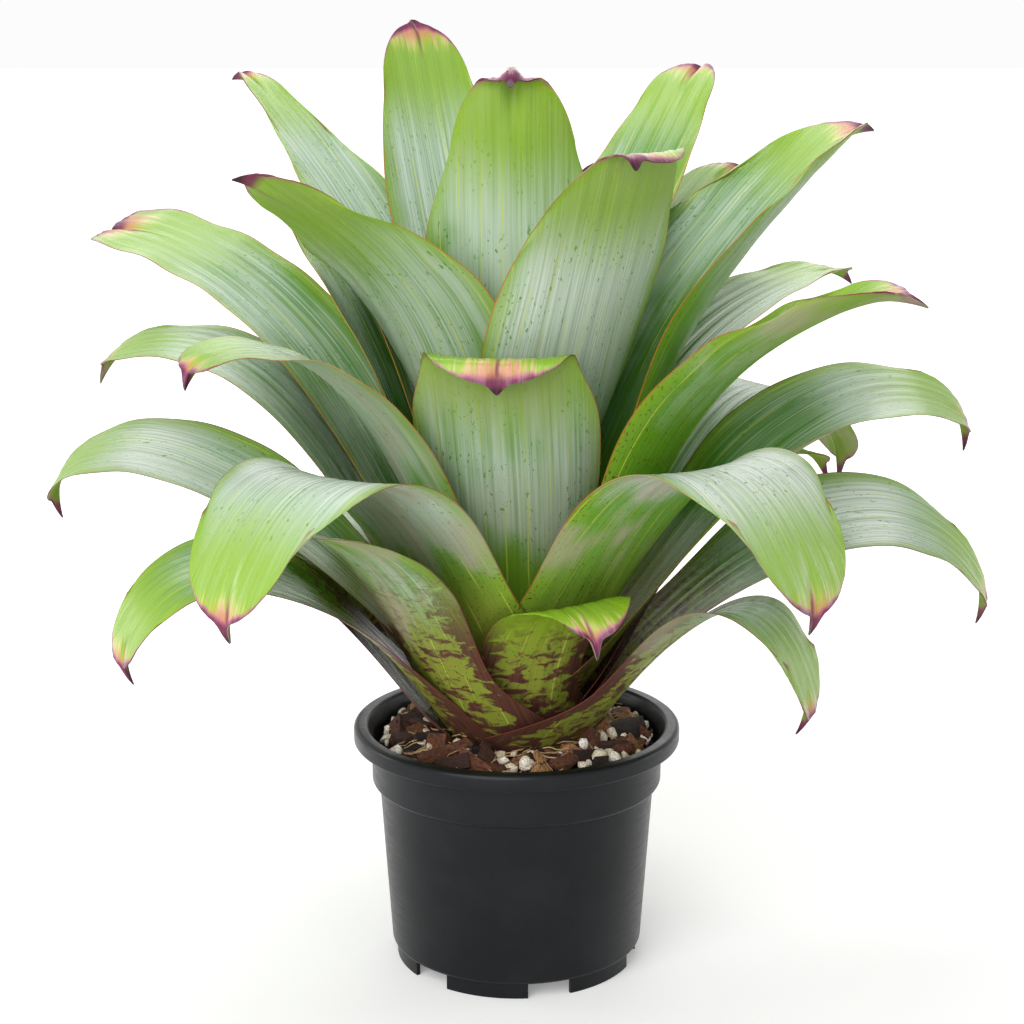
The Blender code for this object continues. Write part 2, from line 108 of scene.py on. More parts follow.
OUTER_BASE = (0.0430, 0.1405)    # radius and height where the outermost leaf starts
INNER_BASE = (0.0105, 0.1960)    # and the innermost
SHEATH_FLARE = 1.25              # width of the sheath, as a part of the blade's
WIDE_SHEATH = 1.75               # a sheath wider than this also wraps further round the stem
FREE_FROM = 0.08                 # the sheath follows the stem round up to this part of the
FREE_BY = 0.60                   # length, and the blade is free of it from this part on
FREE_WRAP = 0.65                 # what a free blade keeps of the bend round the stem
FLARE_END = 0.25                 # where the sheath's extra width ends, along the length
WAIST = 0.12                     # narrowing between the sheath and the blade
WAIST_SPAN = (0.12, 0.30, 0.55)  # where that narrowing starts, is deepest and ends
TAPER = 0.30                     # narrowing from the middle of the blade to its end
TAPER_FROM = 0.62                # where it starts, along the length
TAPER_SHARPNESS = 1.6            # above 1 keeps the blade wide for longer
END_ROUND = 0.62                 # how far the end is rounded, as a part of the width
END_SHARPNESS = 6.0              # above 1 keeps the rounding to the end; less on short blades
END_BOW = 0.97                   # just under 1, so the rounded end meets its sides at a slant

# Leaves, outermost first. azimuth: degrees, 0 at +X and -90 at the front. reach, height:
# where the blade ends. rise, fall: the spine's lean from upright at its base and its end.
# arch: how far the spine keeps those directions. width: of the blade. sway: sideways drift of
# the end. roll: turn about the spine. trough: how far the edges rise. curl, curled: how far
# the end bends back, and over how much of the length.

Leaf = namedtuple("Leaf", "name azimuth reach height rise fall arch width sway roll trough "
                          "curl curled")

LEAVES = (
    Leaf("leaf_low_right_front", -29.5, 0.182, 0.172, 34, 172, 0.80, 0.076, 0.030, -6, 10, 10, 0.08),
    Leaf("leaf_low_left_inner", 174, 0.175, 0.246, 49, 114, 0.42, 0.062, 0.020, -10, 14, 20, 0.10),
    Leaf("leaf_low_left", 197, 0.242, 0.206, 29.5, 162, 0.54, 0.072, 0.000, -14, 14, 15, 0.08),
    Leaf("leaf_low_left_front", 229, 0.200, 0.304, 32, 84, 0.42, 0.080, 0.000, 0, 10, 15, 0.10),
    Leaf("leaf_low_back", 82, 0.187, 0.190, 43, 150, 0.60, 0.078, 0.000, 0, 10, 20, 0.08),
    Leaf("leaf_droop_right", 7, 0.300, 0.214, 38, 155, 0.48, 0.086, 0.000, 20, 26, 15, 0.07),
    Leaf("leaf_low_back_left", 130, 0.231, 0.200, 33, 145, 0.60, 0.078, 0.000, 0, 10, 20, 0.08),
    Leaf("leaf_short_front", -83, 0.120, 0.238, 22, 126, 0.47, 0.072, 0.030, 8, 10, 30, 0.12),
    Leaf("leaf_small_right_back", 30, 0.235, 0.292, 40, 110, 0.45, 0.060, 0.000, 0, 14, 20, 0.08),
    Leaf("leaf_droop_right_back", 36, 0.278, 0.284, 34, 140, 0.60, 0.076, 0.000, 0, 14, 20, 0.08),
    Leaf("leaf_droop_left", 168.5, 0.303, 0.278, 32, 150, 0.36, 0.084, 0.000, -14, 26, 20, 0.07),
    Leaf("leaf_mid_back", 101, 0.187, 0.270, 36, 135, 0.60, 0.086, 0.000, 0, 14, 20, 0.07),
    Leaf("leaf_arch_right", 6, 0.282, 0.330, 33, 130, 0.37, 0.090, 0.000, 14, 44, 25, 0.07),
    Leaf("leaf_arch_left", 171, 0.258, 0.370, 31, 112, 0.42, 0.084, 0.000, -8, 12, 20, 0.07),
    Leaf("leaf_droop_left_front", 231.5, 0.234, 0.262, 23.8, 158, 0.66, 0.112, -0.014, 0, 8, 12, 0.08),
    Leaf("leaf_arch_back", 90.5, 0.180, 0.355, 34, 115, 0.50, 0.074, 0.000, 0, 14, 20, 0.07),
    Leaf("leaf_droop_right_front", -47.5, 0.226, 0.262, 26, 158, 0.70, 0.112, 0.012, 0, 8, 12, 0.08),
    Leaf("leaf_reach_right", -21, 0.228, 0.426, 28, 70, 0.46, 0.110, 0.000, 0, 44, 15, 0.07),
    Leaf("leaf_upper_left_back", 153, 0.296, 0.443, 26, 84, 0.40, 0.080, 0.000, -12, 24, 15, 0.07),
    Leaf("leaf_upper_back", 119, 0.195, 0.425, 25.5, 85, 0.45, 0.078, 0.000, 0, 14, 15, 0.07),
    Leaf("leaf_reach_right_back", 39.2, 0.284, 0.411, 18.5, 86, 0.45, 0.078, 0.000, 0, 20, 15, 0.07),
    Leaf("leaf_arch_left_front", 205, 0.204, 0.384, 18, 110, 0.40, 0.092, 0.000, 0, 12, 20, 0.07),
    Leaf("leaf_upper_right_back", 50.5, 0.230, 0.482, 21.5, 62, 0.45, 0.080, 0.000, 0, 14, 15, 0.07),
    Leaf("leaf_strip_left", 160, 0.158, 0.478, 21, 40, 0.45, 0.084, 0.000, 0, 14, 15, 0.07),
    Leaf("leaf_front_cup", -94, 0.100, 0.409, 10, 22, 0.45, 0.112, -0.004, 0, 4, 150, 0.13),
    Leaf("leaf_upper_right", 21, 0.226, 0.512, 21.5, 51, 0.45, 0.138, 0.000, 0, 46, 15, 0.07),
    Leaf("leaf_tall_left_back", 138, 0.238, 0.543, 14.6, 54, 0.45, 0.078, 0.000, 0, 16, 20, 0.06),
    Leaf("leaf_upper_left_front", 204.5, 0.163, 0.484, 15, 62, 0.45, 0.130, 0.000, 16, 10, -10, 0.08),
    Leaf("leaf_tall_right_back", 56, 0.212, 0.547, 12, 46, 0.52, 0.074, 0.000, 0, 12, 20, 0.06),
    Leaf("leaf_front_right", -57, 0.122, 0.506, 9, 24, 0.45, 0.112, -0.011, 0, 8, 100, 0.035),
    Leaf("leaf_tall_back_left", 114.5, 0.154, 0.570, 7, 22, 0.45, 0.088, 0.000, 0, 8, 15, 0.06),
    Leaf("leaf_inner_left", 183, 0.066, 0.430, 4.6, 16, 0.45, 0.040, 0.000, 0, 14, 15, 0.06),
    Leaf("leaf_inner_back", 60, 0.080, 0.480, 7, 18, 0.45, 0.070, 0.000, 0, 10, 15, 0.06),
    Leaf("leaf_centre_front", -92.5, 0.066, 0.545, 5, 8, 0.45, 0.112, 0.000, 0, -8, 140, 0.032),
    Leaf("leaf_inner_right", 20, 0.034, 0.370, 1, 16, 0.45, 0.046, 0.000, 0, 18, 15, 0.06),
)


# ---- properties -----------------------------------------------------------------------------

class PotSettings(bpy.types.PropertyGroup):
    wall: FloatProperty(name="Wall", description="Thickness of the moulded wall",
                        default=POT_WALL, unit="LENGTH")
    drain_radius: FloatProperty(name="Drain hole", description="Radius of one drain hole",
                                default=DRAIN_RADIUS, unit="LENGTH")
    colour: FloatVectorProperty(name="Plastic", description="Colour of the moulded plastic",
                                subtype="COLOR", size=4, default=linear("#0D0F12"))


class MixSettings(bpy.types.PropertyGroup):
    bark_count: IntProperty(name="Bark pieces", description="Loose pieces of bark on top",
                            default=210, min=0)
    perlite_count: IntProperty(name="Perlite", description="Loose lumps of perlite on top",
                               default=120, min=0)
    crumb_count: IntProperty(name="Crumbs", description="Small crumbs between the pieces",
                             default=760, min=0)
    root_count: IntProperty(name="Fine roots", description="Hair roots on top of the mix",
                            default=84, min=0)
    seed: IntProperty(name="Seed", description="Start of the random placing", default=11)
    bark: FloatVectorProperty(name="Bark", description="Main colour of the bark",
                              subtype="COLOR", size=4, default=linear("#59301E"))
    perlite: FloatVectorProperty(name="Perlite", description="Main colour of the perlite",
                                 subtype="COLOR", size=4, default=linear("#E2D6C0"))


class LeafSettings(bpy.types.PropertyGroup):
    thickness: FloatProperty(name="Thickness", description="At the middle of a blade",
                             default=0.0012, unit="LENGTH")
    wrap: FloatProperty(name="Sheath wrap", description="How far a leaf base wraps the stem",
                        default=radians(62.0), subtype="ANGLE")
    cusp: FloatProperty(name="Cusp", description="Length of the point at the blade's end",
                        default=0.011, unit="LENGTH")
    pleat: FloatProperty(name="Pleat", description="Height of the long shallow folds",
                         default=0.00022, unit="LENGTH")
    face: FloatVectorProperty(name="Blade", description="Main green of the upper face",
                              subtype="COLOR", size=4, default=linear("#568A2E"))
    # the pale bloom colour, which on top of arches is also a painted sheen
    bloom: FloatVectorProperty(name="Bloom", description="Pale scale bloom on the blade",
                               subtype="COLOR", size=4, default=linear("#AAC0AA"))
    tip: FloatVectorProperty(name="Tip", description="Purple at the end of a blade",
                             subtype="COLOR", size=4, default=linear("#6B2348"))


class StageSettings(bpy.types.PropertyGroup):
    floor: FloatVectorProperty(name="Floor", description="Colour of the pale floor",
                               subtype="COLOR", size=4, default=linear("#F2F2F1"))
    softness: FloatProperty(name="Lamp size", description="Width of the lamp overhead",
                            default=0.9, unit="LENGTH")


# ---- shared helpers -------------------------------------------------------------------------

def smooth(edge0, edge1, x):
    """0 below edge0, 1 above edge1, and a smooth rise between them."""
    t = min(1.0, max(0.0, (x - edge0) / (edge1 - edge0)))
    return t * t * (3.0 - 2.0 * t)


def mix(a, b, t):
    return a + (b - a) * t


def arc(centre_r, centre_z, radius, start, stop, steps):
    """Points of a round stretch of a profile, by angle in degrees."""
    angles = [radians(mix(start, stop, i / steps)) for i in range(steps + 1)]
    return [(centre_r + radius * cos(a), centre_z + radius * sin(a)) for a in angles]


def add_piece(name, bm, finishes, replaces=(), sharp=40.0):
    """Turns a bmesh into a finished piece of the plant."""
    mesh = bpy.data.meshes.new(name)
    bm.to_mesh(mesh)
    bm.free()
    piece = bpy.data.objects.new(name, mesh)
    bpy.context.scene.collection.objects.link(piece)
    for finish in finishes:
        mesh.materials.append(finish)
    mesh.shade_smooth()
    mesh.set_sharp_from_angle(angle=radians(sharp))
    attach(piece, "root")
    if replaces:
        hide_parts(*replaces)
    return piece


def turned(profile, segments, sweep=2.0 * pi, start=0.0):
    """An outline of (radius, height) spun about the pot's axis."""
    bm = bmesh.new()
    around = Matrix.Rotation(start, 4, "Z")
    corners = [bm.verts.new(around @ Vector((r, 0.0, z))) for r, z in profile]
    edges = [bm.edges.new(pair) for pair in zip(corners, corners[1:])]
    if profile[0][0] > 0.0:
        edges.append(bm.edges.new((corners[-1], corners[0])))
    whole = sweep >= 2.0 * pi
    spun = corners + edges if whole else [bm.faces.new(corners)]
    bmesh.ops.spin(bm, geom=spun, axis=(0, 0, 1), cent=(0, 0, 0), angle=sweep, steps=segments,
                   use_merge=whole)
    bmesh.ops.remove_doubles(bm, verts=bm.verts, dist=0.00001)
    bmesh.ops.recalc_face_normals(bm, faces=bm.faces)
    return bm


def add_node(tree, kind, inputs=(), output=0, **settings):
    """Adds a shader node, sets it, links or fills its inputs, and returns one output."""
    made = tree.nodes.new("ShaderNode" + kind)
    for key, value in settings.items():
        setattr(made, key, value)
    for key, value in (inputs if isinstance(inputs, dict) else dict(enumerate(inputs))).items():
        if isinstance(value, bpy.types.NodeSocket):
            tree.links.new(value, made.inputs[key])
        else:
            made.inputs[key].default_value = value
    return made.outputs[output]


def new_material(name, **constants):
    """A material with one Principled shader, its constants set on the shader itself."""
    made = bpy.data.materials.new(name)
    made.use_nodes = True
    tree = made.node_tree
    shader = tree.nodes["Principled BSDF"]
    for key, value in constants.items():
        shader.inputs[key.replace("_", " ")].default_value = value
    return made, tree, shader


# ---- finishes -------------------------------------------------------------------------------

EASED = {"interpolation_type": "SMOOTHSTEP"}   # a Map Range that starts and ends gently
COLOURS = {"data_type": "RGBA", "output": 2}   # a Mix of two colours, inputs 6 and 7
VEIN_SPACING = 0.0125


class Skin:
    """The measures and patterns of a waxy leaf face, and the coats of colour they make.

    The blade attribute runs across and along in metres, so ribs and veins keep real sizes.
    A coat is a colour and the factors of how much of it shows, and lies over those before it.
    """

    def __init__(self, tree, settings, upper):
        self.node = partial(add_node, tree)
        self.settings = settings
        self.upper = upper
        node = self.node
        blade = node("Attribute", output=1, attribute_name="blade")
        self.across, self.along, self.seed = node("SeparateXYZ", (blade,)).node.outputs
        place = node("Attribute", output=1, attribute_name="place")
        self.edge, self.end, self.age = node("SeparateXYZ", (place,)).node.outputs
        # how much pale bloom a point has, with a painted sheen added on top of arches
        self.bloom_and_sheen_cover = node("Attribute", output=2, attribute_name="bloom")
        # how far up the deep clear green reaches, which is partly painted shade
        self.limit = node("Attribute", output=2, attribute_name="clear")
        self.fine = self.streaks(0.00055, 0.090, 0.0)        # ribs over half a millimetre apart
        self.rib = self.streaks(0.0017, 0.120, 5.0, 1.0)     # and bundles of them every 2 mm
        self.band = self.streaks(0.0080, 0.160, 9.0, 1.0)    # bands about a centimetre wide
        self.cloud = self.streaks(0.0300, 0.060, 17.0, 2.0)  # patches a few cm across
        self.fleck = self.streaks(0.0016, 0.0040, 55.0, 1.0, 0.4)
        # 0 on old outer leaves, 1 on young inner ones
        self.youth = node("MapRange", (self.age, 0.15, 0.95), **EASED)
        # towards the stem the scales give way to deep clear green: partly leaf without scales, partly
        # painted shade and glow between the crowded leaves
        self.rise = node("Math", (self.along, self.limit), operation="DIVIDE")
        bareness_and_shade = node("Math", (self.cloud, 0.9, self.rise), operation="MULTIPLY_ADD")
        self.bare_and_shaded = node("MapRange", (bareness_and_shade, 1.50, 1.08), **EASED)

    def streaks(self, width, length, offset, detail=2.0, distortion=0.0):
        """Noise stretched along the blade: width and length of one streak in metres."""
        node = self.node
        x = node("Math", (self.across, width), operation="DIVIDE")
        y = node("Math", (self.along, length), operation="DIVIDE")
        z = node("Math", (self.seed, 3.7, offset), operation="MULTIPLY_ADD")
        return node("TexNoise", {"Vector": node("CombineXYZ", (x, y, z)), "Scale": 1.0,
                                 "Detail": detail, "Roughness": 0.55, "Distortion": distortion})

    def side(self, above, below):
        """The first on the upper face and the second underneath."""
        return above if self.upper else below

    def bloom_and_sheen_coats(self):
        """Pale scales with silver and green ribs, and a painted white sheen on top of an arch."""
        node = self.node
        bloom = 0.14
        for pattern, share in ((self.cloud, 0.32), (self.rib, 0.20), (self.band, 0.20),
                               (self.bloom_and_sheen_cover, 0.34)):
            bloom = node("Math", (pattern, share, bloom), operation="MULTIPLY_ADD")
        ribs = node("Math", (self.rib, 0.4), operation="MULTIPLY")
        silver = node("Math", (self.fine, 0.6, ribs), operation="MULTIPLY_ADD")
        return [
            (self.side(tuple(self.settings.bloom), linear("#AEC0AA")),
             node("MapRange", (bloom, 0.54, 0.84, 0.0, 0.95), **EASED)),
            (linear(self.side("#D2DFD2", "#CAD6C8")),
             node("MapRange", (silver, 0.50, 0.66, 0.0, self.side(0.62, 0.45)), **EASED),
             node("MapRange", (self.bloom_and_sheen_cover, 0.0, 1.0, 0.25, 1.0), **EASED)),
            (linear(self.side("#3C6B22", "#4C7029")),
             node("MapRange", (silver, 0.47, 0.34, 0.0, self.side(0.42, 0.32)), **EASED)),
            # painted sheen: near white where the painted sheen on top of an arch lifts the bloom cover
            (linear("#E2EAE3"),
             node("MapRange", (self.bloom_and_sheen_cover, 0.85, 1.60, 0.0, 0.90), **EASED),
             node("MapRange", (silver, 0.40, 0.56, 0.25, 1.0), **EASED)),
        ]

    def clear_and_shaded_coats(self):
        """Deep clear green towards the stem, partly leaf without scales and partly painted shade and
        glow between crowded leaves; olive low down, yellow green margins.
        """
        node = self.node
        rim = node("Math", (self.cloud, 0.012, self.edge), operation="MULTIPLY_ADD")
        return [
            # painted shade: deep clear green where the scales give way, partly leaf without scales and
            # partly shade between crowded leaves
            (linear(self.side("#3F7A04", "#5F9408")), self.bare_and_shaded,
             node("MapRange", (self.fine, 0.30, 0.62, 1.0, 0.90), **EASED)),
            (linear("#898B38"),
             node("MapRange", (self.youth, 0.50, 0.10, 0.25, 1.0), **EASED),
             node("MapRange", (self.along, 0.150, 0.070), **EASED), 0.85),
            (linear("#7FA62C"),
             node("MapRange", (rim, 0.0210, 0.006), **EASED),
             node("MapRange", (self.end, 0.30, 0.12, 0.60, 0.85), **EASED)),
        ]

    def vein_coats(self):
        """Yellow veins half a millimetre wide, and green flecks 1 to 4 mm long."""
        node = self.node
        wander = node("Math", (self.streaks(0.030, 0.120, 31.0), 0.55, self.seed),
                      operation="MULTIPLY_ADD")
        phase = node("Math", (self.across, 1.0 / VEIN_SPACING, wander),
                     operation="MULTIPLY_ADD")
        phase = node("Math", (phase, 0.5), operation="PINGPONG")
        strength = self.streaks(0.010, 0.045, 40.0)
        patch = self.streaks(0.018, 0.032, 63.0, 1.0)
        return [
            (linear("#BFC94F"),
             node("MapRange", (phase, 0.045, 0.012), **EASED),
             node("MapRange", (strength, 0.40, 0.60, 0.0, 0.75), **EASED)),
            (linear("#4C8A1E"),
             node("MapRange", (self.fleck, 0.655, 0.69), **EASED),
             node("MapRange", (patch, 0.45, 0.55), **EASED), 0.85),
        ]

    def bar_coats(self):
        """Purple brown bars across old sheaths, densest at the margins, and small specks."""
        node = self.node
        reach = node("MapRange", (self.age, 0.55, 0.04, 0.015, 0.185), **EASED)
        zone = node("Math", (self.along, reach), operation="DIVIDE")
        zone = node("MapRange", (zone, 1.0, 0.40), **EASED)
        bars = self.streaks(0.0100, 0.0052, 71.0, 3.0, 0.8)
        for crowd, share in (
                (node("MapRange", (self.edge, 0.020, 0.002), **EASED), 0.22),
                (node("MapRange", (self.along, 0.050, 0.008), **EASED), 0.12),
                (self.streaks(0.030, 0.035, 77.0, 1.0), 0.30)):
            bars = node("Math", (crowd, share, bars), operation="MULTIPLY_ADD")
        ribbed = node("MapRange", (self.fine, 0.4, 0.6), **EASED)
        brown = node("Mix", {0: ribbed, 6: linear("#451F26"), 7: linear("#5E3032")}, **COLOURS)

        speck = node("Math", (node("MapRange", (self.edge, 0.012, 0.002), **EASED), 0.05,
                              self.streaks(0.0016, 0.0023, 83.0, 1.0)),
                     operation="MULTIPLY_ADD")
        specked = node("Math", (node("MapRange", (self.age, 0.62, 0.46), **EASED),
                                node("MapRange", (self.rise, 1.00, 0.55), **EASED)),
                       operation="MULTIPLY")
        return [
            (brown, zone, node("MapRange", (bars, 0.64, 0.79, 0.0, 0.94), **EASED)),
            (linear("#5E2A1E"), node("Math", (zone, specked), operation="MAXIMUM"),
             node("MapRange", (speck, 0.655, 0.70, 0.0, 0.85), **EASED)),
        ]

    def end_coats(self):
        """Yellow green towards the end, and on the upper face cream streaks and pink."""
        node = self.node
        streak = self.streaks(0.0020, 0.060, 91.0, 1.0)
        end = node("Math", (streak, -0.022, self.end), operation="MULTIPLY_ADD")
        coats = [(linear(self.side("#86AE22", "#7C9E1C")),
                  node("MapRange", (end, 0.090, 0.032, 0.0, 0.88), **EASED))]
        if self.upper:
            coats += [
                (linear("#B4BE34"), node("MapRange", (end, 0.020, 0.004, 0.0, 0.65), **EASED)),
                (linear("#E0D3A4"), node("MapRange", (end, 0.017, 0.004), **EASED),
                 node("MapRange", (streak, 0.45, 0.58, 0.0, 0.75), **EASED)),
                (linear("#C67064"), node("MapRange", (end, 0.013, 0.001, 0.0, 0.80), **EASED)),
            ]
        return coats

    def tip_coats(self):
        """Pink, then purple, round the margin of the end and along its crease."""
        node = self.node
        margin = node("Math", (self.end, 0.19, self.edge), operation="MULTIPLY_ADD")
        margin = node("Math", (self.streaks(0.0080, 0.0110, 97.0, 1.0), -0.0060, margin),
                      operation="MULTIPLY_ADD")
        middle = node("Math", (self.across,), operation="ABSOLUTE")
        crease = node("Math", (self.end, 0.030, middle), operation="MULTIPLY_ADD")
        crease = node("Math", (node("MapRange", (crease, 0.0024, 0.0009), **EASED),
                               node("MapRange", (self.end, 0.036, 0.014), **EASED)),
                      operation="MULTIPLY")
        crease = node("Math", (crease, self.side(0.80, 0.30)), operation="MULTIPLY")
        rim = node("MapRange", (margin, *self.side((0.0044, 0.0016), (0.0026, 0.0008))), **EASED)
        purple = node("Math", (rim, crease), operation="MAXIMUM")
        purple = node("Math", (purple, node("MapRange", (self.end, 0.0135, 0.0075), **EASED)),
                      operation="MAXIMUM")
        return [
            (linear("#A9587B"),
             node("MapRange", (margin, 0.0068, 0.0032, 0.0, self.side(0.88, 0.45)), **EASED)),
            (tuple(self.settings.tip), purple, 0.94),
            (linear("#33101F"), node("MapRange", (self.end, 0.0070, 0.0020, 0.0, 0.90), **EASED)),
        ]

    def margin_coats(self):
        """A thin line round the margin, red near the end and rusty below; dry underneath."""
        node = self.node
        line = linear("#B8782F")
        for value, low, high, red in ((self.youth, 0.50, 0.10, "#6A3430"),
                                      (self.end, 0.110, 0.030, "#7A2430")):
            share = node("MapRange", (value, low, high), **EASED)
            line = node("Mix", {0: share, 6: line, 7: linear(red)}, **COLOURS)
        coats = [(line, node("MapRange", (self.edge, 0.0010, 0.0004, 0.0, 0.85), **EASED))]
        if not self.upper:
            scaly = node("Math", (self.bloom_and_sheen_cover, self.bare_and_shaded), operation="SUBTRACT")
            coats.append((linear("#A89F84"),
                          node("MapRange", (self.cloud, 0.42, 0.62), **EASED),
                          node("MapRange", (self.youth, 0.95, 0.40, 0.05, 0.62), **EASED),
                          node("MapRange", (scaly, 0.05, 0.45), **EASED),
                          node("MapRange", (self.along, 0.04, 0.10), **EASED)))
        return coats


def leaf_finish(name, settings, upper):
    """Waxy leaf skin under pale scales, with a painted sheen on top of arches and painted shade near
    the stem: satin, finely ribbed along the blade.
    """
    made, tree, shader = new_material(name, Metallic=0.0, IOR=1.45)
    skin = Skin(tree, settings, upper)
    node = skin.node
    colour = skin.side(tuple(settings.face), linear("#678F3A"))
    for coat, amount, *factors in (*skin.bloom_and_sheen_coats(), *skin.clear_and_shaded_coats(),
                                   *skin.vein_coats(), *skin.bar_coats(), *skin.end_coats(),
                                   *skin.tip_coats(), *skin.margin_coats()):
        for factor in factors:
            amount = node("Math", (amount, factor), operation="MULTIPLY")
        colour = node("Mix", {0: amount, 6: colour, 7: coat}, **COLOURS)
    tree.links.new(colour, shader.inputs["Base Color"])

    waxy = skin.side((skin.rib, 0.35, 0.65, 0.20, 0.34), (skin.band, 0.35, 0.65, 0.40, 0.55))
    tree.links.new(node("MapRange", waxy, **EASED), shader.inputs["Roughness"])
    shader.inputs["Specular IOR Level"].default_value = skin.side(0.45, 0.16)
    relief = node("Math", (skin.fine, 0.40), operation="MULTIPLY")
    relief = node("Math", (skin.rib, 1.1, relief), operation="MULTIPLY_ADD")
    relief = node("Math", (skin.fleck, 0.25, relief), operation="MULTIPLY_ADD")
    bump = node("Bump", {"Height": relief, "Strength": 0.55, "Distance": 0.0005})
    tree.links.new(bump, shader.inputs["Normal"])
    return made


def pot_finish(settings):
    """Injection moulded polypropylene, carbon black: satin, with faint scuffs and dust."""
    made, tree, shader = new_material("polypropylene_moulded_black", Metallic=0.0, IOR=1.49,
                                      Specular_IOR_Level=0.22)
    node = partial(add_node, tree)
    where = node("TexCoord", output=3)
    scuff = node("Mapping", {"Vector": where, "Scale": (60.0, 60.0, 900.0)})
    scuffs = node("TexNoise", {"Vector": scuff, "Scale": 1.0, "Detail": 4.0, "Roughness": 0.7})
    cloud = node("TexNoise", {"Vector": where, "Scale": 22.0, "Detail": 5.0, "Roughness": 0.65})
    dust = node("MapRange", (cloud, 0.45, 0.75, 0.0, 0.30))
    colour = node("Mix", {0: dust, 6: tuple(settings.colour), 7: linear("#272A2E")}, **COLOURS)
    tree.links.new(colour, shader.inputs["Base Color"])
    tree.links.new(node("MapRange", (scuffs, 0.35, 0.7, 0.28, 0.44)), shader.inputs["Roughness"])
    # moulding texture, about 0.6 mm from bump to bump
    grain = node("TexNoise", {"Vector": where, "Scale": 1700.0, "Detail": 1.0})
    bump = node("Bump", {"Height": grain, "Strength": 0.10, "Distance": 0.0002})
    tree.links.new(bump, shader.inputs["Normal"])
    return made


def lump_finish(name, stops, hollow, roughness, fibre, pore, depth):
    """Loose pieces: tint picks a colour for each, grain runs along it.

    stops are its colours from dark to pale and hollow the colour of the painted shade in its pits.
    fibre is the spacing of its fibres, pore the size of its pits and depth their relief, all in
    metres.
    """
    made, tree, shader = new_material(name, Metallic=0.0, IOR=1.45, Roughness=roughness)
    node = partial(add_node, tree)
    tint = node("Attribute", attribute_name="tint", output=2)
    grain = node("Attribute", attribute_name="grain", output=1)
    stretched = node("Mapping", {"Vector": grain,
                                 "Scale": (0.18 / fibre, 1.0 / fibre, 1.0 / fibre)})
    fibres = node("TexNoise", {"Vector": stretched, "Scale": 1.0, "Detail": 5.0,
                               "Roughness": 0.65})
    pits = node("TexNoise", {"Vector": grain, "Scale": 1.0 / pore, "Detail": 3.0,
                             "Roughness": 0.6})
    shifted = node("Math", (fibres, 0.8, tint), operation="MULTIPLY_ADD")
    picked = node("ValToRGB", (node("Math", (shifted, 0.4), operation="SUBTRACT"),))
    elements = picked.node.color_ramp.elements
    elements[0].color = stops[0]
    elements[1].color = stops[-1]
    for i, stop in enumerate(stops[1:-1], 1):
        elements.new(i / (len(stops) - 1)).color = stop
    # painted shade: the pits are darkened towards the hollow colour
    shade = node("MapRange", (pits, 0.53, 0.36, 0.0, 0.75))
    colour = node("Mix", {0: shade, 6: picked, 7: hollow}, **COLOURS)
    tree.links.new(colour, shader.inputs["Base Color"])
    relief = node("Math", (fibres, pits), operation="ADD")
    bump = node("Bump", {"Height": relief, "Strength": 0.8, "Distance": depth})
    tree.links.new(bump, shader.inputs["Normal"])
    return made


# ---- pot ------------------------------------------------------------------------------------

def pot_profile(wall):
    """The pot in section, from the axis out along its underside, up, over and back inside."""
    skirt = POT_HEIGHT - RIM_DROP
    collar_in = COLLAR_RADIUS - wall
    floor_top = FOOT_HEIGHT + wall
    inner_foot = BODY_FOOT_RADIUS - wall
    step_low = COLLAR_BOTTOM - STEP_DROP
    return [
        (0.0, FOOT_HEIGHT),
        (FOOT_RADIUS - 0.0006, FOOT_HEIGHT),
        *arc(BODY_FOOT_RADIUS - BODY_ROUND, floor_top + 0.0006, BODY_ROUND, -80, 0, 7),
        (mix(BODY_FOOT_RADIUS, BODY_TOP_RADIUS, 0.5), 0.5 * (floor_top + step_low)),
        (BODY_TOP_RADIUS, step_low),
        (BODY_TOP_RADIUS + 0.0006, step_low + 0.0008),
        *arc(COLLAR_RADIUS - COLLAR_ROUND, COLLAR_BOTTOM + 0.0006, COLLAR_ROUND, -58, 0, 6),
        (COLLAR_RADIUS, skirt + RIM_UNDERCUT),
        (POT_RADIUS - RIM_ROUND, skirt + RIM_UNDERCUT),
        *arc(POT_RADIUS - SKIRT_ROUND, skirt + SKIRT_ROUND, SKIRT_ROUND, -170, 0, 8),
        *arc(POT_RADIUS - RIM_ROUND, POT_HEIGHT - RIM_ROUND, RIM_ROUND, 0, 90, 8),
        *arc(POT_RADIUS - RIM_ROUND - 0.0032, POT_HEIGHT - RIM_ROUND, RIM_ROUND, 90, 160, 7),
        (collar_in + 0.0012, POT_HEIGHT - 0.0075),
        (collar_in, POT_HEIGHT - 0.0120),
        (collar_in, COLLAR_BOTTOM + 0.0020),
        (BODY_TOP_RADIUS - wall, step_low),
        (inner_foot, floor_top + 0.0030),
        (inner_foot - 0.0030, floor_top),
        (0.0, floor_top),
    ]


def drill(bm, centres, radius, low, high):
    """Cuts round holes upright through the piece."""
    body = bpy.data.objects.new("drilled", bpy.data.meshes.new("drilled"))
    bm.to_mesh(body.data)
    bm.free()
    bits = bmesh.new()
    for x, y in centres:
        bmesh.ops.create_cone(bits, cap_ends=True, segments=40, radius1=radius, radius2=radius,
                              depth=high - low,
                              matrix=Matrix.Translation((x, y, 0.5 * (low + high))))
    bit = bpy.data.objects.new("drill_bits", bpy.data.meshes.new("drill_bits"))
    bits.to_mesh(bit.data)
    bits.free()
    for thing in (body, bit):
        bpy.context.scene.collection.objects.link(thing)
    cut = body.modifiers.new("holes", "BOOLEAN")
    cut.operation = "DIFFERENCE"
    cut.solver = "EXACT"
    cut.object = bit
    drilled = bmesh.new()
    drilled.from_object(body, bpy.context.evaluated_depsgraph_get())
    for thing in (body, bit):
        mesh = thing.data
        bpy.data.objects.remove(thing)
        bpy.data.meshes.remove(mesh)
    return drilled


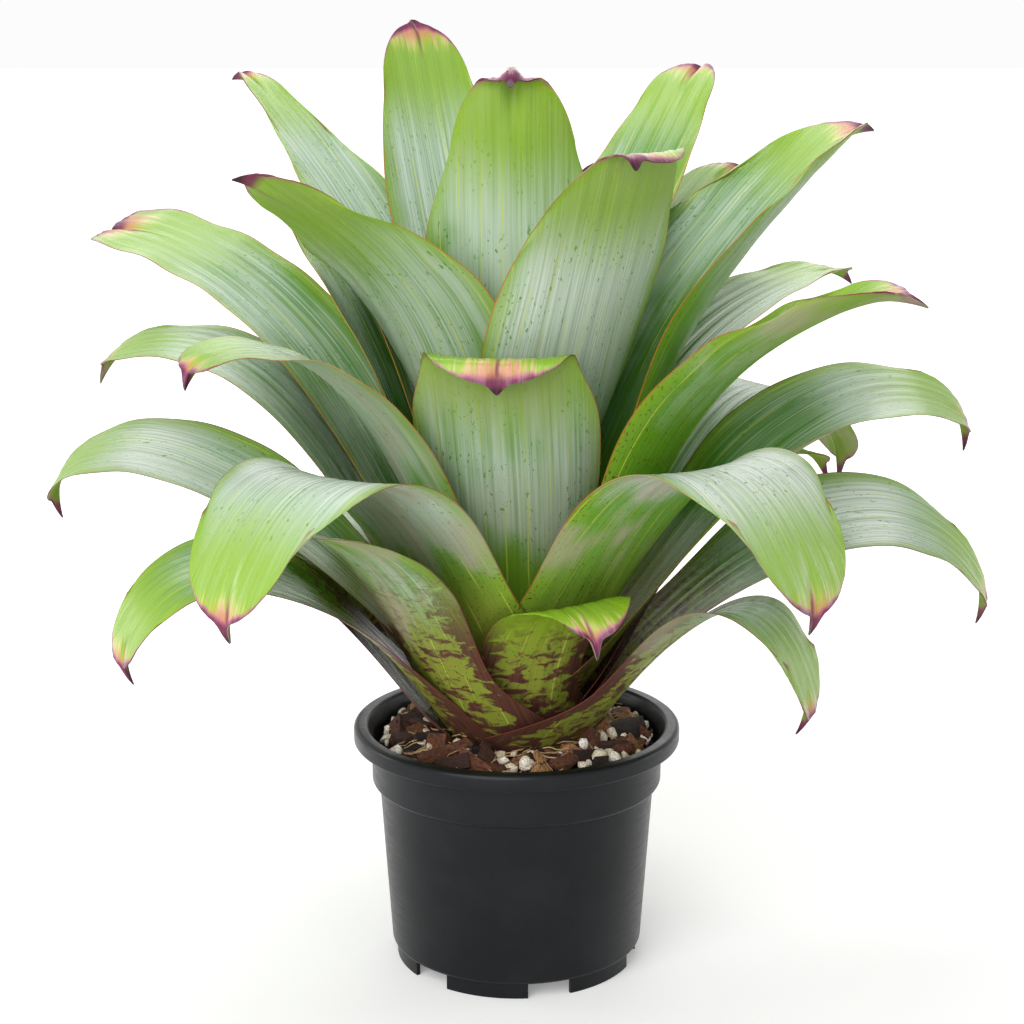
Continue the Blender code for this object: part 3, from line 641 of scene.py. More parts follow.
class BROMELIAD_OT_pot(bpy.types.Operator):
    """Turns the pot, drills its drain holes and sets six feet under it"""
    bl_idname = "bromeliad.pot"
    bl_label = "Make the pot"

    def execute(self, context):
        settings = context.scene.bromeliad_pot
        plastic = pot_finish(settings)
        pitch = 360.0 / FOOT_COUNT
        between = [radians(FIRST_FOOT + pitch * (i + 0.5)) for i in range(FOOT_COUNT)]
        centres = [(DRAIN_CIRCLE * cos(a), DRAIN_CIRCLE * sin(a)) for a in between]
        shell = turned(pot_profile(settings.wall), POT_SEGMENTS)
        shell = drill(shell, centres + [(0.0, 0.0)], settings.drain_radius,
                      FOOT_HEIGHT - DRILL_SPARE, FOOT_HEIGHT + settings.wall + DRILL_SPARE)
        add_piece("pot_shell", shell, [plastic], ["pot"], sharp=32.0)

        outline = [
            (FOOT_RADIUS - FOOT_WALL, FOOT_HEIGHT + FOOT_SUNK),
            (FOOT_RADIUS - FOOT_WALL, 0.0),
            (FOOT_RADIUS - 0.0004, 0.0),
            (FOOT_RADIUS, 0.0004),
            (FOOT_RADIUS, FOOT_HEIGHT + FOOT_SUNK),
        ]
        for i in range(FOOT_COUNT):
            start = radians(FIRST_FOOT + pitch * i - 0.5 * FOOT_ANGLE)
            foot = turned(outline, 22, sweep=radians(FOOT_ANGLE), start=start)
            add_piece(f"pot_foot_{i + 1}", foot, [plastic], sharp=32.0)
        return {"FINISHED"}


# ---- potting mix ----------------------------------------------------------------------------

LUMP_OFFSET = 100.0              # sets each lump in its own part of the noise
BED_DEPTH = 0.0085               # the fines lie this far below the tops of the pieces
TRIES = 60                       # for each loose piece, before the bed counts as full
ROOT_FROM = 0.0640               # hair roots start between the well and this far out
ROOT_STEP = 0.0019               # length of one step of a root
ROOT_TURN = 0.0845               # how far out a root turns back
ROOT_LEVEL = 0.0860              # and how far out it follows the slope of the mix

# azimuth and radius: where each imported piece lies. length, breadth, depth: its size. turn:
# degrees about the upright axis.

Chip = namedtuple("Chip", "name azimuth radius length breadth depth turn")

BARK_CHIPS = (
    Chip("bark_chip_1", -131, 0.0700, 0.025, 0.013, 0.0070, 24),
    Chip("bark_chip_2", -101, 0.0735, 0.016, 0.010, 0.0060, -12),
    Chip("bark_chip_3", -66, 0.0690, 0.019, 0.012, 0.0065, 60),
    Chip("bark_chip_4", -28, 0.0710, 0.017, 0.011, 0.0070, 95),
    Chip("bark_chip_5", 21, 0.0700, 0.020, 0.012, 0.0060, 70),
    Chip("bark_chip_6", 82, 0.0705, 0.021, 0.012, 0.0065, -8),
    Chip("bark_chip_7", 143, 0.0710, 0.018, 0.012, 0.0060, 30),
    Chip("bark_chip_8", -163, 0.0715, 0.020, 0.011, 0.0070, 112),
)
PERLITE_LUMPS = (
    Chip("perlite_1", -114, 0.0655, 0.009, 0.008, 0.0070, 15),
    Chip("perlite_2", -85, 0.0690, 0.010, 0.008, 0.0075, 50),
    Chip("perlite_3", -46, 0.0715, 0.010, 0.009, 0.0075, 80),
    Chip("perlite_4", -4, 0.0700, 0.009, 0.008, 0.0070, 10),
    Chip("perlite_5", 52, 0.0720, 0.010, 0.008, 0.0070, 35),
    Chip("perlite_6", 113, 0.0700, 0.010, 0.009, 0.0075, 65),
    Chip("perlite_7", 171, 0.0705, 0.009, 0.008, 0.0070, 20),
)


# Loose pieces of one kind: how many, the shortest and longest, the part of a length that has to
# lie free and how strictly, their breadth and depth as a part of their length, and how far they
# stand out of the mix, as a part of their depth.

LooseSet = namedtuple("LooseSet", "name count shortest longest spread clearance breadth depth "
                                  "raised")


def mix_height(r):
    """Top of the mix at a distance from the pot's axis, gently mounded at the crown."""
    return mix(MIX_CROWN_HEIGHT, MIX_EDGE_HEIGHT, smooth(WELL_RADIUS, COLLAR_RADIUS, r))


def lump_mesh():
    """An empty bmesh with the attributes that the finishes of loose pieces read."""
    bm = bmesh.new()
    return bm, bm.verts.layers.float_vector.new("grain"), bm.verts.layers.float.new("tint")


def add_lump(lumps, size, place, turn, tint, squareness, roughness, fineness):
    """One rough lump: a ball squared off, broken up and bent a little."""
    bm, grain, tint_layer = lumps
    made = bmesh.ops.create_icosphere(bm, subdivisions=fineness, radius=1.0)["verts"]
    offset = place * LUMP_OFFSET
    half = size / 2.0
    for vert in made:
        ball = vert.co.copy()
        local = Vector([copysign(abs(c) ** squareness, c) for c in ball])
        coarse = noise.noise(ball * 1.1 + offset)
        small = noise.noise(ball * 3.3 + offset)
        local = Vector((local.x * half.x, local.y * half.y, local.z * half.z))
        local *= 1.0 + roughness * coarse + 0.45 * roughness * small
        local.z += 0.16 * size.z * noise.noise(Vector((ball.x * 1.4, 0.0, 3.0)) + offset)
        local.y *= 1.0 - 0.22 * ball.x * copysign(1.0, offset.x)
        vert[grain] = local + offset * 0.001
        vert[tint_layer] = tint
        vert.co = place + turn @ local


def add_shard(lumps, size, place, turn, tint, jag, rng):
    """One broken piece of bark: a block with its corners knocked about, flat on every side."""
    bm, grain, tint_layer = lumps
    half = size / 2.0
    block = bmesh.ops.create_cube(bm, size=2.0)["verts"]
    faces = list(dict.fromkeys(face for vert in block for face in vert.link_faces))
    poked = bmesh.ops.poke(bm, faces=faces)["verts"]
    lean = rng.uniform(-0.35, 0.35)
    for vert in block + poked:
        knock = Vector([rng.uniform(-jag, jag) for _ in range(3)])
        bulge = 1.0 if vert in block else rng.uniform(0.90, 1.12)
        local = vert.co * bulge + knock
        local.x += lean * local.y
        local = Vector((local.x * half.x, local.y * half.y, local.z * half.z))
        vert[grain] = local + place * LUMP_OFFSET * 0.001
        vert[tint_layer] = tint
        vert.co = place + turn @ local


def scatter(rng, loose, kept):
    """Places round the crown, larger pieces first, none on top of those already kept."""
    places = []
    tries = 0
    while len(places) < loose.count and tries < loose.count * TRIES:
        tries += 1
        part = 1.0 - len(places) / loose.count
        length = mix(loose.shortest, loose.longest, part ** 1.4 * rng.uniform(0.75, 1.0))
        reach = sqrt(rng.uniform((LOOSE_FROM + 0.35 * length) ** 2,
                                 (LOOSE_RADIUS - 0.60 * length) ** 2))
        a = rng.uniform(-pi, pi)
        x, y = reach * cos(a), reach * sin(a)
        size = length * loose.spread
        if all(hypot(x - kx, y - ky) > loose.clearance * 0.5 * (size + other)
               for kx, ky, other in kept):
            kept.append((x, y, size))
            places.append((x, y, reach, length))
    return places


class BROMELIAD_OT_mix(bpy.types.Operator):
    """Fills the pot with a bed of fine mix, lumpy on top, coloured near black: partly the dark fines,
    partly painted shade in the gaps between the loose pieces
    """
    bl_idname = "bromeliad.mix"
    bl_label = "Make the bed of mix"

    def execute(self, context):
        edge = COLLAR_RADIUS - POT_WALL - COLLAR_CLEARANCE
        rings = 44
        tops = [mix(edge, BED_FLAT, i / rings) for i in range(rings + 1)]
        bottom = FOOT_HEIGHT + POT_WALL + MIX_CLEARANCE
        foot = BODY_FOOT_RADIUS - POT_WALL - MIX_CLEARANCE
        profile = [
            (0.0, bottom),
            (foot - BED_ROUND, bottom),
            (foot, bottom + BED_ROUND),
            (BODY_TOP_RADIUS - POT_WALL - MIX_CLEARANCE, COLLAR_BOTTOM - STEP_DROP),
            (edge, COLLAR_BOTTOM + 0.0024),
            *[(r, mix_height(r) - BED_DEPTH) for r in tops],
            (0.0, MIX_CROWN_HEIGHT - BED_DEPTH),
        ]
        bm = turned(profile, 160)
        grain = bm.verts.layers.float_vector.new("grain")
        tint = bm.verts.layers.float.new("tint")
        for vert in bm.verts:
            reach = hypot(vert.co.x, vert.co.y)
            if vert.co.z > COLLAR_BOTTOM + 0.010 and reach < edge - 0.0005:
                lumps = noise.noise(vert.co * 230.0) + 0.6 * noise.noise(vert.co * 560.0)
                vert.co.z += 0.0017 * lumps
            vert[grain] = vert.co
            vert[tint] = 0.12
        # painted shade: the fines are coloured near black, so the gaps between the loose pieces read
        # as shadow
        soil = lump_finish("potting_mix_fines_and_gap_shade",
                           (linear("#090504"), linear("#180E09"), linear("#2E1A10")),
                           linear("#1D120D"), 0.92, 0.0010, 0.0030, 0.0016)
        add_piece("mix_bed", bm, [soil], ["potting_mix"])
        return {"FINISHED"}


class BROMELIAD_OT_loose(bpy.types.Operator):
    """Lays bark, perlite, crumbs and fine roots on the bed, the large pieces first"""
    bl_idname = "bromeliad.loose"
    bl_label = "Lay the loose pieces"

    def execute(self, context):
        settings = context.scene.bromeliad_mix
        rng = Random(settings.seed)
        bark = lump_finish("pine_bark_broken",
                           (linear("#120805"), linear("#331A10"), tuple(settings.bark),
                            linear("#7E4E31"), linear("#B98C5E")),
                           linear("#1D120D"), 0.80, 0.0011, 0.0020, 0.0018)
        perlite = lump_finish("perlite_porous",
                              (linear("#C4B08F"), tuple(settings.perlite), linear("#F3ECDF"),
                               linear("#FAF7F0")),
                              linear("#8C7A66"), 0.88, 0.0030, 0.0011, 0.0004)
        packed = ((BARK_CHIPS, bark, "bark", 0.60, 0.20),
                  (PERLITE_LUMPS, perlite, "perlite", 0.85, 0.26))
        kept = []
        for chips, finish, slot, square, rough in packed:
            for chip in chips:
                lumps = lump_mesh()
                a = radians(chip.azimuth)
                place = Vector((chip.radius * cos(a), chip.radius * sin(a),
                                mix_height(chip.radius) + 0.46 * chip.depth))
                turn = (Matrix.Rotation(radians(chip.turn), 3, "Z")
                        @ Matrix.Rotation(rng.uniform(-0.14, 0.14), 3, "Y"))
                size = Vector((chip.length, chip.breadth, chip.depth))
                add_lump(lumps, size, place, turn, rng.uniform(0.25, 0.75), square, rough, 4)
                add_piece(f"loose_{chip.name}", lumps[0], [finish], [chip.name],
                          sharp=34.0)
                kept.append((place.x, place.y, 0.8 * chip.length))

        sets = (LooseSet("perlite_pieces", settings.perlite_count, 0.0040, 0.0110, 0.90, 0.95,
                         0.86, 0.76, 0.25),
                LooseSet("bark_pieces", settings.bark_count, 0.0050, 0.0250, 0.55, 0.74,
                         0.62, 0.50, -0.05))
        for loose in sets:
            lumps = lump_mesh()
            for x, y, reach, length in scatter(rng, loose, kept):
                size = Vector((length, length * loose.breadth * rng.uniform(0.60, 1.25),
                               length * loose.depth * rng.uniform(0.50, 1.30)))
                lift = mix_height(reach) + size.z * (loose.raised + rng.uniform(0.0, 0.30))
                turn = Euler((rng.gauss(0.0, 0.60), rng.gauss(0.0, 0.50),
                              rng.uniform(-pi, pi))).to_matrix()
                place = Vector((x, y, lift))
                if loose.name == "bark_pieces":
                    add_shard(lumps, size, place, turn, rng.random() ** 1.6, 0.26, rng)
                else:
                    add_lump(lumps, size, place, turn, rng.uniform(0.0, 1.0), 0.85, 0.34, 2)
            slot = loose.name.removesuffix("_pieces")
            add_piece(loose.name, lumps[0], [{"bark": bark, "perlite": perlite}[slot]],
                      sharp=34.0)

        lumps = lump_mesh()
        for _ in range(settings.crumb_count):
            reach = sqrt(rng.uniform(WELL_RADIUS ** 2, LOOSE_RADIUS ** 2))
            a = rng.uniform(-pi, pi)
            length = rng.uniform(0.0012, 0.0036)
            place = Vector((reach * cos(a), reach * sin(a),
                            mix_height(reach) + rng.uniform(-0.0070, 0.0008)))
            size = Vector((length, length * rng.uniform(0.4, 0.9), length * rng.uniform(0.3, 0.8)))
            turn = Euler([rng.uniform(-pi, pi) for _ in range(3)]).to_matrix()
            add_lump(lumps, size, place, turn, rng.uniform(0.2, 1.0), 0.7, 0.3, 1)
        add_piece("mix_crumbs", lumps[0], [bark], sharp=20.0)
        self.lay_roots(settings.root_count, rng)
        return {"FINISHED"}

    def lay_roots(self, count, rng):
        """Hair roots that come out under the sheaths and lie over the mix."""
        bm = bmesh.new()
        for _ in range(count):
            a = rng.uniform(-pi, pi)
            reach = rng.uniform(WELL_RADIUS, ROOT_FROM)
            at = Vector((reach * cos(a), reach * sin(a), MIX_CROWN_HEIGHT + 0.0036))
            heading = a + rng.gauss(0.0, 0.9)
            thick = rng.uniform(0.00026, 0.00052)
            steps = rng.randint(9, 18)
            ring = bmesh.ops.create_circle(bm, segments=5, radius=thick,
                                           matrix=Matrix.Translation(at)
                                           @ Matrix.Rotation(pi / 2, 4, "Y"))["verts"]
            first = list(dict.fromkeys(edge for vert in ring for edge in vert.link_edges))
            bmesh.ops.contextual_create(bm, geom=first)
            edges = first
            for step in range(steps):
                heading += rng.gauss(0.0, 0.34)
                move = Vector((cos(heading), sin(heading), 0.0)) * ROOT_STEP
                ahead = at + move
                over = hypot(ahead.x, ahead.y)
                height = mix_height(min(over, ROOT_LEVEL)) + 0.0052
                height += 0.0022 * noise.noise(ahead * 190.0)
                move.z = 0.5 * (height - at.z)
                if over > ROOT_TURN:
                    move = Vector((-ahead.x, -ahead.y, 0.0)).normalized() * 0.0012
                    heading += 1.2
                at = at + move
                grown = bmesh.ops.extrude_edge_only(bm, edges=edges)["geom"]
                tips = [g for g in grown if isinstance(g, bmesh.types.BMVert)]
                edges = [g for g in grown if isinstance(g, bmesh.types.BMEdge)
                         and g.is_boundary]
                bmesh.ops.translate(bm, vec=move, verts=tips)
            bmesh.ops.contextual_create(bm, geom=edges)
        bmesh.ops.recalc_face_normals(bm, faces=bm.faces)
        root, tree, shader = new_material("hair_root_dry", Metallic=0.0, IOR=1.45,
                                          Roughness=0.8)
        where = add_node(tree, "TexCoord", output=3)
        patch = add_node(tree, "TexNoise", {"Vector": where, "Scale": 160.0})
        colour = add_node(tree, "Mix", {0: patch, 6: linear("#7C5636"), 7: linear("#D9B88A")},
                          **COLOURS)
        tree.links.new(colour, shader.inputs["Base Color"])
        add_piece("hair_roots", bm, [root])


class BROMELIAD_OT_stem(bpy.types.Operator):
    """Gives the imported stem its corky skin"""
    bl_idname = "bromeliad.stem"
    bl_label = "Finish the stem"

    def execute(self, context):
        cork, tree, shader = new_material("stem_cork", Metallic=0.0, IOR=1.45, Roughness=0.85)
        where = add_node(tree, "TexCoord", output=3)
        # leaf scars ring the stem about every 2 mm
        rings = add_node(tree, "Mapping", {"Vector": where, "Scale": (60.0, 60.0, 500.0)})
        scars = add_node(tree, "TexNoise", {"Vector": rings, "Scale": 1.0, "Detail": 3.0})
        colour = add_node(tree, "Mix", {0: scars, 6: linear("#3B2A1B"), 7: linear("#8A7350")},
                          **COLOURS)
        tree.links.new(colour, shader.inputs["Base Color"])
        bump = add_node(tree, "Bump", {"Height": scars, "Strength": 0.6, "Distance": 0.0008})
        tree.links.new(bump, shader.inputs["Normal"])
        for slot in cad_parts["stem"].material_slots:
            slot.material = cork
        return {"FINISHED"}


# ---- leaves ---------------------------------------------------------------------------------

LEAF_COLUMNS = 40
LEAF_ROWS = 104
COLUMN_CROWDING = 1.22           # sets the columns closer towards the midrib
ROW_CROWDING = 1.18              # and the rows towards the end
CUSP_SPREAD = 0.085              # half width of the cusp, as a part of the blade's
CUSP_SHARPNESS = 24
CUSP_HOOK = 0.0050               # how far the cusp bends back
CREASE_SPREAD = 0.12
WAVE_LENGTH = 0.0078             # of the ripple of the margins, per radian
ARCH_LEAN = 88.0                 # lean of the spine where the painted sheen is strongest
ARCH_SPREAD = 30.0
MARGIN_THICKNESS = 0.40          # of the middle's
PLEAT_WIDTHS = (0.0105, 0.0043)  # of the broad folds and the narrow ones between them

# What sets one leaf apart. sheath: how wide its base is, in widths of the blade. clear: how far
# up from the stem it is deep clear green, partly leaf without scales and partly painted shade and
# glow between the crowded leaves, where its age alone doesn't say. bloom: how much of the pale
# bloom it has, partly real scales and partly a painted sheen, and the arch sheen how much more
# painted sheen lies on top of its arch. back, narrower: how far back the corners of its end lie,
# in widths, and how much narrower it gets there. askew: by how many widths the right side of its
# end reaches past the left. crease: how deep its end is creased, less than zero for a ridge.
# cusp: length of its cusp, as a part of the usual one.
# flat: how much of its trough it loses towards the end. wave: ripple of its margins before the
# end. tinted: how many times further than usual the colours of its end reach down.

Look = namedtuple("Look", "sheath clear bloom arch_bloom back narrower askew crease cusp flat "
                          "wave tinted",
                  defaults=(SHEATH_FLARE, None, 0.55, 0.0, END_ROUND, TAPER, 0.0, 0.0034, 1.0,
                            0.85, 0.0007, 1.0))

LOOKS = {
    "low_right_front": Look(sheath=2.3, bloom=0.25, arch_bloom=0.60),
    "low_left_inner": Look(clear=0.225, bloom=0.20),
    "low_left": Look(clear=0.225, bloom=0.10, arch_bloom=0.80),
    "low_left_front": Look(sheath=1.6),
    "droop_right": Look(bloom=0.15, arch_bloom=1.40),
    "low_back_left": Look(clear=0.180),
    "short_front": Look(sheath=1.6, bloom=0.30),
    "small_right_back": Look(bloom=0.30),
    "droop_left": Look(bloom=0.15, arch_bloom=1.30, back=0.45, narrower=0.18),
    "arch_right": Look(clear=0.200, bloom=0.15, arch_bloom=1.10, back=0.45, narrower=0.20),
    "arch_left": Look(arch_bloom=0.50, back=0.45, narrower=0.18, tinted=0.9),
    "droop_left_front": Look(clear=0.160, bloom=1.00, arch_bloom=0.40),
    "droop_right_front": Look(clear=0.215, bloom=1.30, arch_bloom=1.20),
    "reach_right": Look(clear=0.290, bloom=0.60, arch_bloom=0.60, back=0.60, narrower=0.32,
                        flat=0.15, wave=0.0018, tinted=1.3),
    "upper_left_back": Look(bloom=0.62, back=0.10, narrower=0.06, askew=-0.10, cusp=0.25,
                            wave=0.0012, tinted=1.2),
    "reach_right_back": Look(bloom=0.10, flat=0.30),
    "arch_left_front": Look(clear=0.150, bloom=0.75, back=0.34, narrower=0.12, cusp=0.60,
                            wave=0.0012, tinted=0.8),
    "upper_right_back": Look(bloom=0.20),
    "front_cup": Look(clear=0.110, bloom=0.75, back=0.34, narrower=0.20, crease=0.0004,
                      cusp=0.50),
    "upper_right": Look(clear=0.270, bloom=0.60, back=0.62, narrower=0.34, cusp=0.50, flat=0.20,
                        wave=0.0009),
    "tall_left_back": Look(bloom=0.80, back=1.05, narrower=0.50, cusp=0.70),
    "upper_left_front": Look(clear=0.185, bloom=0.70, back=0.45, narrower=0.46, cusp=0.60,
                             wave=0.0012, tinted=1.2),
    "tall_right_back": Look(bloom=0.32, cusp=0.60),
    "front_right": Look(clear=0.165, bloom=1.15, back=0.50, narrower=0.20, askew=0.22,
                        crease=-0.0012, cusp=0.60),
    "tall_back_left": Look(bloom=0.95, crease=-0.0010, cusp=0.50),
    "centre_front": Look(clear=0.25, bloom=0.80, back=0.60, narrower=0.34, crease=-0.0085,
                         cusp=0.50),
}


def spine(leaf, rank, steps=60, fine=400):
    """The middle line of a blade in its own upright plane.

    Returns the length and a list of (radius, height, lean) at even steps of length. It is
    measured on a finer line, and bends back over its last part.
    """
    r0 = mix(OUTER_BASE[0], INNER_BASE[0], rank)
    z0 = mix(OUTER_BASE[1], INNER_BASE[1], rank)
    rise, fall = radians(leaf.rise), radians(leaf.fall)
    handle = leaf.arch * hypot(leaf.reach - r0, leaf.height - z0)
    p0 = Vector((r0, z0))
    p1 = p0 + handle * Vector((sin(rise), cos(rise)))
    p3 = Vector((leaf.reach, leaf.height))
    p2 = p3 - handle * Vector((sin(fall), cos(fall)))

    points = []
    for i in range(fine + 1):
        t = i / fine
        k = 1.0 - t
        points.append(k * k * k * p0 + 3 * k * k * t * p1 + 3 * k * t * t * p2 + t * t * t * p3)
    travelled = [0.0]
    for a, b in zip(points, points[1:]):
        travelled.append(travelled[-1] + (b - a).length)
    length = travelled[-1]

    leans = []
    at = 0
    for step in range(steps + 1):
        target = length * step / steps
        while at < fine - 1 and travelled[at + 1] < target:
            at += 1
        run = points[at + 1] - points[at]
        lean = atan2(run.x, run.y)
        turn_back = smooth(1.0 - leaf.curled, 1.0 + 0.5 * leaf.curled, step / steps) * 2.0
        leans.append(lean + radians(leaf.curl) * min(1.0, turn_back))

    line = [(r0, z0, leans[0])]
    for step in range(1, steps + 1):
        lean = 0.5 * (leans[step - 1] + leans[step])
        r, z, _ = line[-1]
        line.append((r + sin(lean) * length / steps, z + cos(lean) * length / steps, leans[step]))
    return length, line


def along_spine(length, line, s):
    """The spine's radius, height and lean at the fraction s of its length, or past its end."""
    steps = len(line) - 1
    if s >= 1.0:
        r, z, lean = line[-1]
        return r + sin(lean) * (s - 1.0) * length, z + cos(lean) * (s - 1.0) * length, lean
    at = min(steps - 1, int(s * steps))
    part = s * steps - at
    return tuple(mix(a, b, part) for a, b in zip(line[at], line[at + 1]))


def leaf_point(leaf, look, length, line, u, t, settings, phase):
    """A point of the blade's middle surface: u from -1 to 1 across it, t from 0 to 1 along it.

    Returns the point, and its distances across, along, from the margin and from the end.
    """
    bow = 1.0 - sqrt(1.0 - END_BOW * u * u)
    slender = length / leaf.width
    # a deep or blunt end starts further down, so the margins never double back
    s = t - look.back * bow / slender * t ** min(END_SHARPNESS, slender / look.back)
    s += look.askew * u / slender * t ** 5
    cusp = exp(-(u / CUSP_SPREAD) ** 2) * t ** CUSP_SHARPNESS
    cusp_length = settings.cusp * look.cusp
    s += cusp_length / length * cusp
    r, z, lean = along_spine(length, line, s)

    blade = 0.5 * leaf.width * mix(look.sheath, 1.0, smooth(0.0, FLARE_END, t))
    waist_from, waist_at, waist_to = WAIST_SPAN
    blade *= 1.0 - (WAIST * smooth(waist_from, waist_at, t)
                    * (1.0 - smooth(waist_at, waist_to, t)))
    blade *= 1.0 - look.narrower * smooth(TAPER_FROM, 1.0, t) ** TAPER_SHARPNESS
    around = max(r, INNER_BASE[0])
    half = min(blade, settings.wrap * max(1.0, look.sheath / WIDE_SHEATH) * around)
    free = smooth(FREE_FROM, FREE_BY, t)

    wrap = half * cos(lean) / around * mix(1.0, FREE_WRAP, free)
    turn = wrap + radians(leaf.trough) * free * (1.0 - look.flat * smooth(0.5, 0.95, t))
    if abs(turn) < 0.001:
        across, lift = u * half, 0.0
    else:
        across = half * sin(turn * u) / turn
        lift = half * (1.0 - cos(turn * u)) / turn
    ripple = smooth(0.55, 0.90, t) * u * u * look.wave
    lift += ripple * sin(s * length / WAVE_LENGTH + phase + 1.7 * copysign(1.0, u))
    lift -= CUSP_HOOK * cusp * cusp
    lift -= look.crease * exp(-(u / CREASE_SPREAD) ** 2) * smooth(0.88, 1.0, t)
    lift += 0.010 * leaf.width * smooth(0.90, 1.0, t) * u * u
    roll = radians(leaf.roll) * free
    drift = leaf.sway * t * t
    side = across * cos(roll) - lift * sin(roll) + drift
    up = across * sin(roll) + lift * cos(roll)
    blade_r = r - up * cos(lean)
    blade_z = z + up * sin(lean)

    a = radians(leaf.azimuth)
    blade_point = Vector((blade_r * cos(a) - side * sin(a), blade_r * sin(a) + side * cos(a),
                          blade_z))
    b = a + (u * half + drift) / around
    point = Vector((r * cos(b), r * sin(b), z)).lerp(blade_point, free)
    past = max(0.0, (1.0 - t) * length)
    edge = min(half * (1.0 - abs(u)), past + half * 0.04 * (1.0 - abs(u)))
    end = hypot(u * half * 0.8, max(0.0, 1.0 + cusp_length / length - s) * length)
    return point, u * half, s * length, edge, end / look.tinted


def make_blade(leaf, rank, number, settings, finishes):
    """A flat grid bent into the blade, then doubled, parted by its thickness and closed."""
    short_name = leaf.name.removeprefix("leaf_")
    look = LOOKS.get(short_name, Look())
    # painted shade: inner leaves, crowded by the outer ones, get a longer deep clear green zone
    clear_and_shade_to = look.clear or mix(0.100, 0.270, rank)
    length, line = spine(leaf, rank)
    phase = number * 2.4
    bm = bmesh.new()
    blade = bm.verts.layers.float_vector.new("blade")
    place = bm.verts.layers.float_vector.new("place")
    bloom = bm.verts.layers.float.new("bloom")
    clear = bm.verts.layers.float.new("clear")
    bmesh.ops.create_grid(bm, x_segments=LEAF_COLUMNS, y_segments=LEAF_ROWS, size=1.0)
    body = {}
    for vert in bm.verts:
        u = copysign(abs(vert.co.x) ** COLUMN_CROWDING, vert.co.x)
        t = 1.0 - ((1.0 - vert.co.y) / 2.0) ** ROW_CROWDING
        vert.co, across, along, edge, end = leaf_point(leaf, look, length, line, u, t, settings,
                                                       phase)
        vert[blade] = (across, along, number * 1.37)
        vert[place] = (edge, end, rank)
        # painted sheen: extra bloom cover on top of the arch, where the spine leans about ARCH_LEAN
        lean = degrees(along_spine(length, line, along / length)[2])
        arch_sheen_share = exp(-((lean - ARCH_LEAN) / ARCH_SPREAD) ** 2) * smooth(0.25, 0.5, t)
        vert[bloom] = mix(0.10, look.bloom, smooth(0.08, 0.40, t)) + look.arch_bloom * arch_sheen_share
        vert[clear] = clear_and_shade_to
        body[vert] = (u, t, across)
    bm.normal_update()
    broad, narrow = PLEAT_WIDTHS
    for vert, (u, t, across) in body.items():
        fold = sin(across * 2.0 * pi / broad + phase) + 0.5 * sin(across * 2.0 * pi / narrow)
        vert.co += vert.normal * settings.pleat * fold * (1.0 - abs(u) ** 4) * smooth(0.1, 0.3, t)
    bm.normal_update()

    under = list(bm.verts)
    under_faces = list(bm.faces)
    doubled = bmesh.ops.duplicate(bm, geom=under + list(bm.edges) + under_faces)
    twin = doubled["vert_map"]
    upper_faces = [g for g in doubled["geom"] if isinstance(g, bmesh.types.BMFace)]
    for vert in under:
        u, t, _ = body[vert]
        part = 0.5 * settings.thickness * mix(1.0, MARGIN_THICKNESS, abs(u) ** 3)
        out = vert.normal * part * mix(1.25, 0.75, t)
        twin[vert].co = vert.co - out
        vert.co = vert.co + out
    bmesh.ops.reverse_faces(bm, faces=upper_faces)
    rims = [edge for edge in bm.edges if edge.is_boundary]
    closed = bmesh.ops.bridge_loops(bm, edges=rims)
    for face in under_faces + closed["faces"]:
        face.material_index = 1
    bmesh.ops.recalc_face_normals(bm, faces=bm.faces)
    add_piece(f"blade_{short_name}", bm, finishes, [leaf.name], sharp=55.0)


class BROMELIAD_OT_leaves(bpy.types.Operator):
    """Bends one blade for every leaf, from the outermost to the innermost"""
    bl_idname = "bromeliad.leaves"
    bl_label = "Grow the leaves"

    def execute(self, context):
        settings = context.scene.bromeliad_leaves
        finishes = [leaf_finish("leaf_upper_face", settings, True),
                    leaf_finish("leaf_under_face", settings, False)]
        for number, leaf in enumerate(LEAVES):
            make_blade(leaf, number / (len(LEAVES) - 1), number, settings, finishes)
        return {"FINISHED"}


# ---- stage ----------------------------------------------------------------------------------

def seen_directly(tree):
    """1 for what the camera, a reflection or a clear piece sees, 0 for what lights a surface."""
    seen = add_node(tree, "LightPath", output="Is Camera Ray")
    rays = seen.node.outputs
    for other in ("Is Glossy Ray", "Is Transmission Ray"):
        seen = add_node(tree, "Math", (seen, rays[other]), operation="MAXIMUM")
    return seen


def add_lamp(name, place, aim, side, power):
    lamp = bpy.data.lights.new(name, "AREA")
    lamp.shape = "DISK"
    lamp.size = side
    lamp.energy = power
    holder = bpy.data.objects.new(name, lamp)
    bpy.context.scene.collection.objects.link(holder)
    holder.visible_camera = False
    holder.location = place
    holder.rotation_euler = (Vector(aim) - Vector(place)).to_track_quat("-Z", "Y").to_euler()


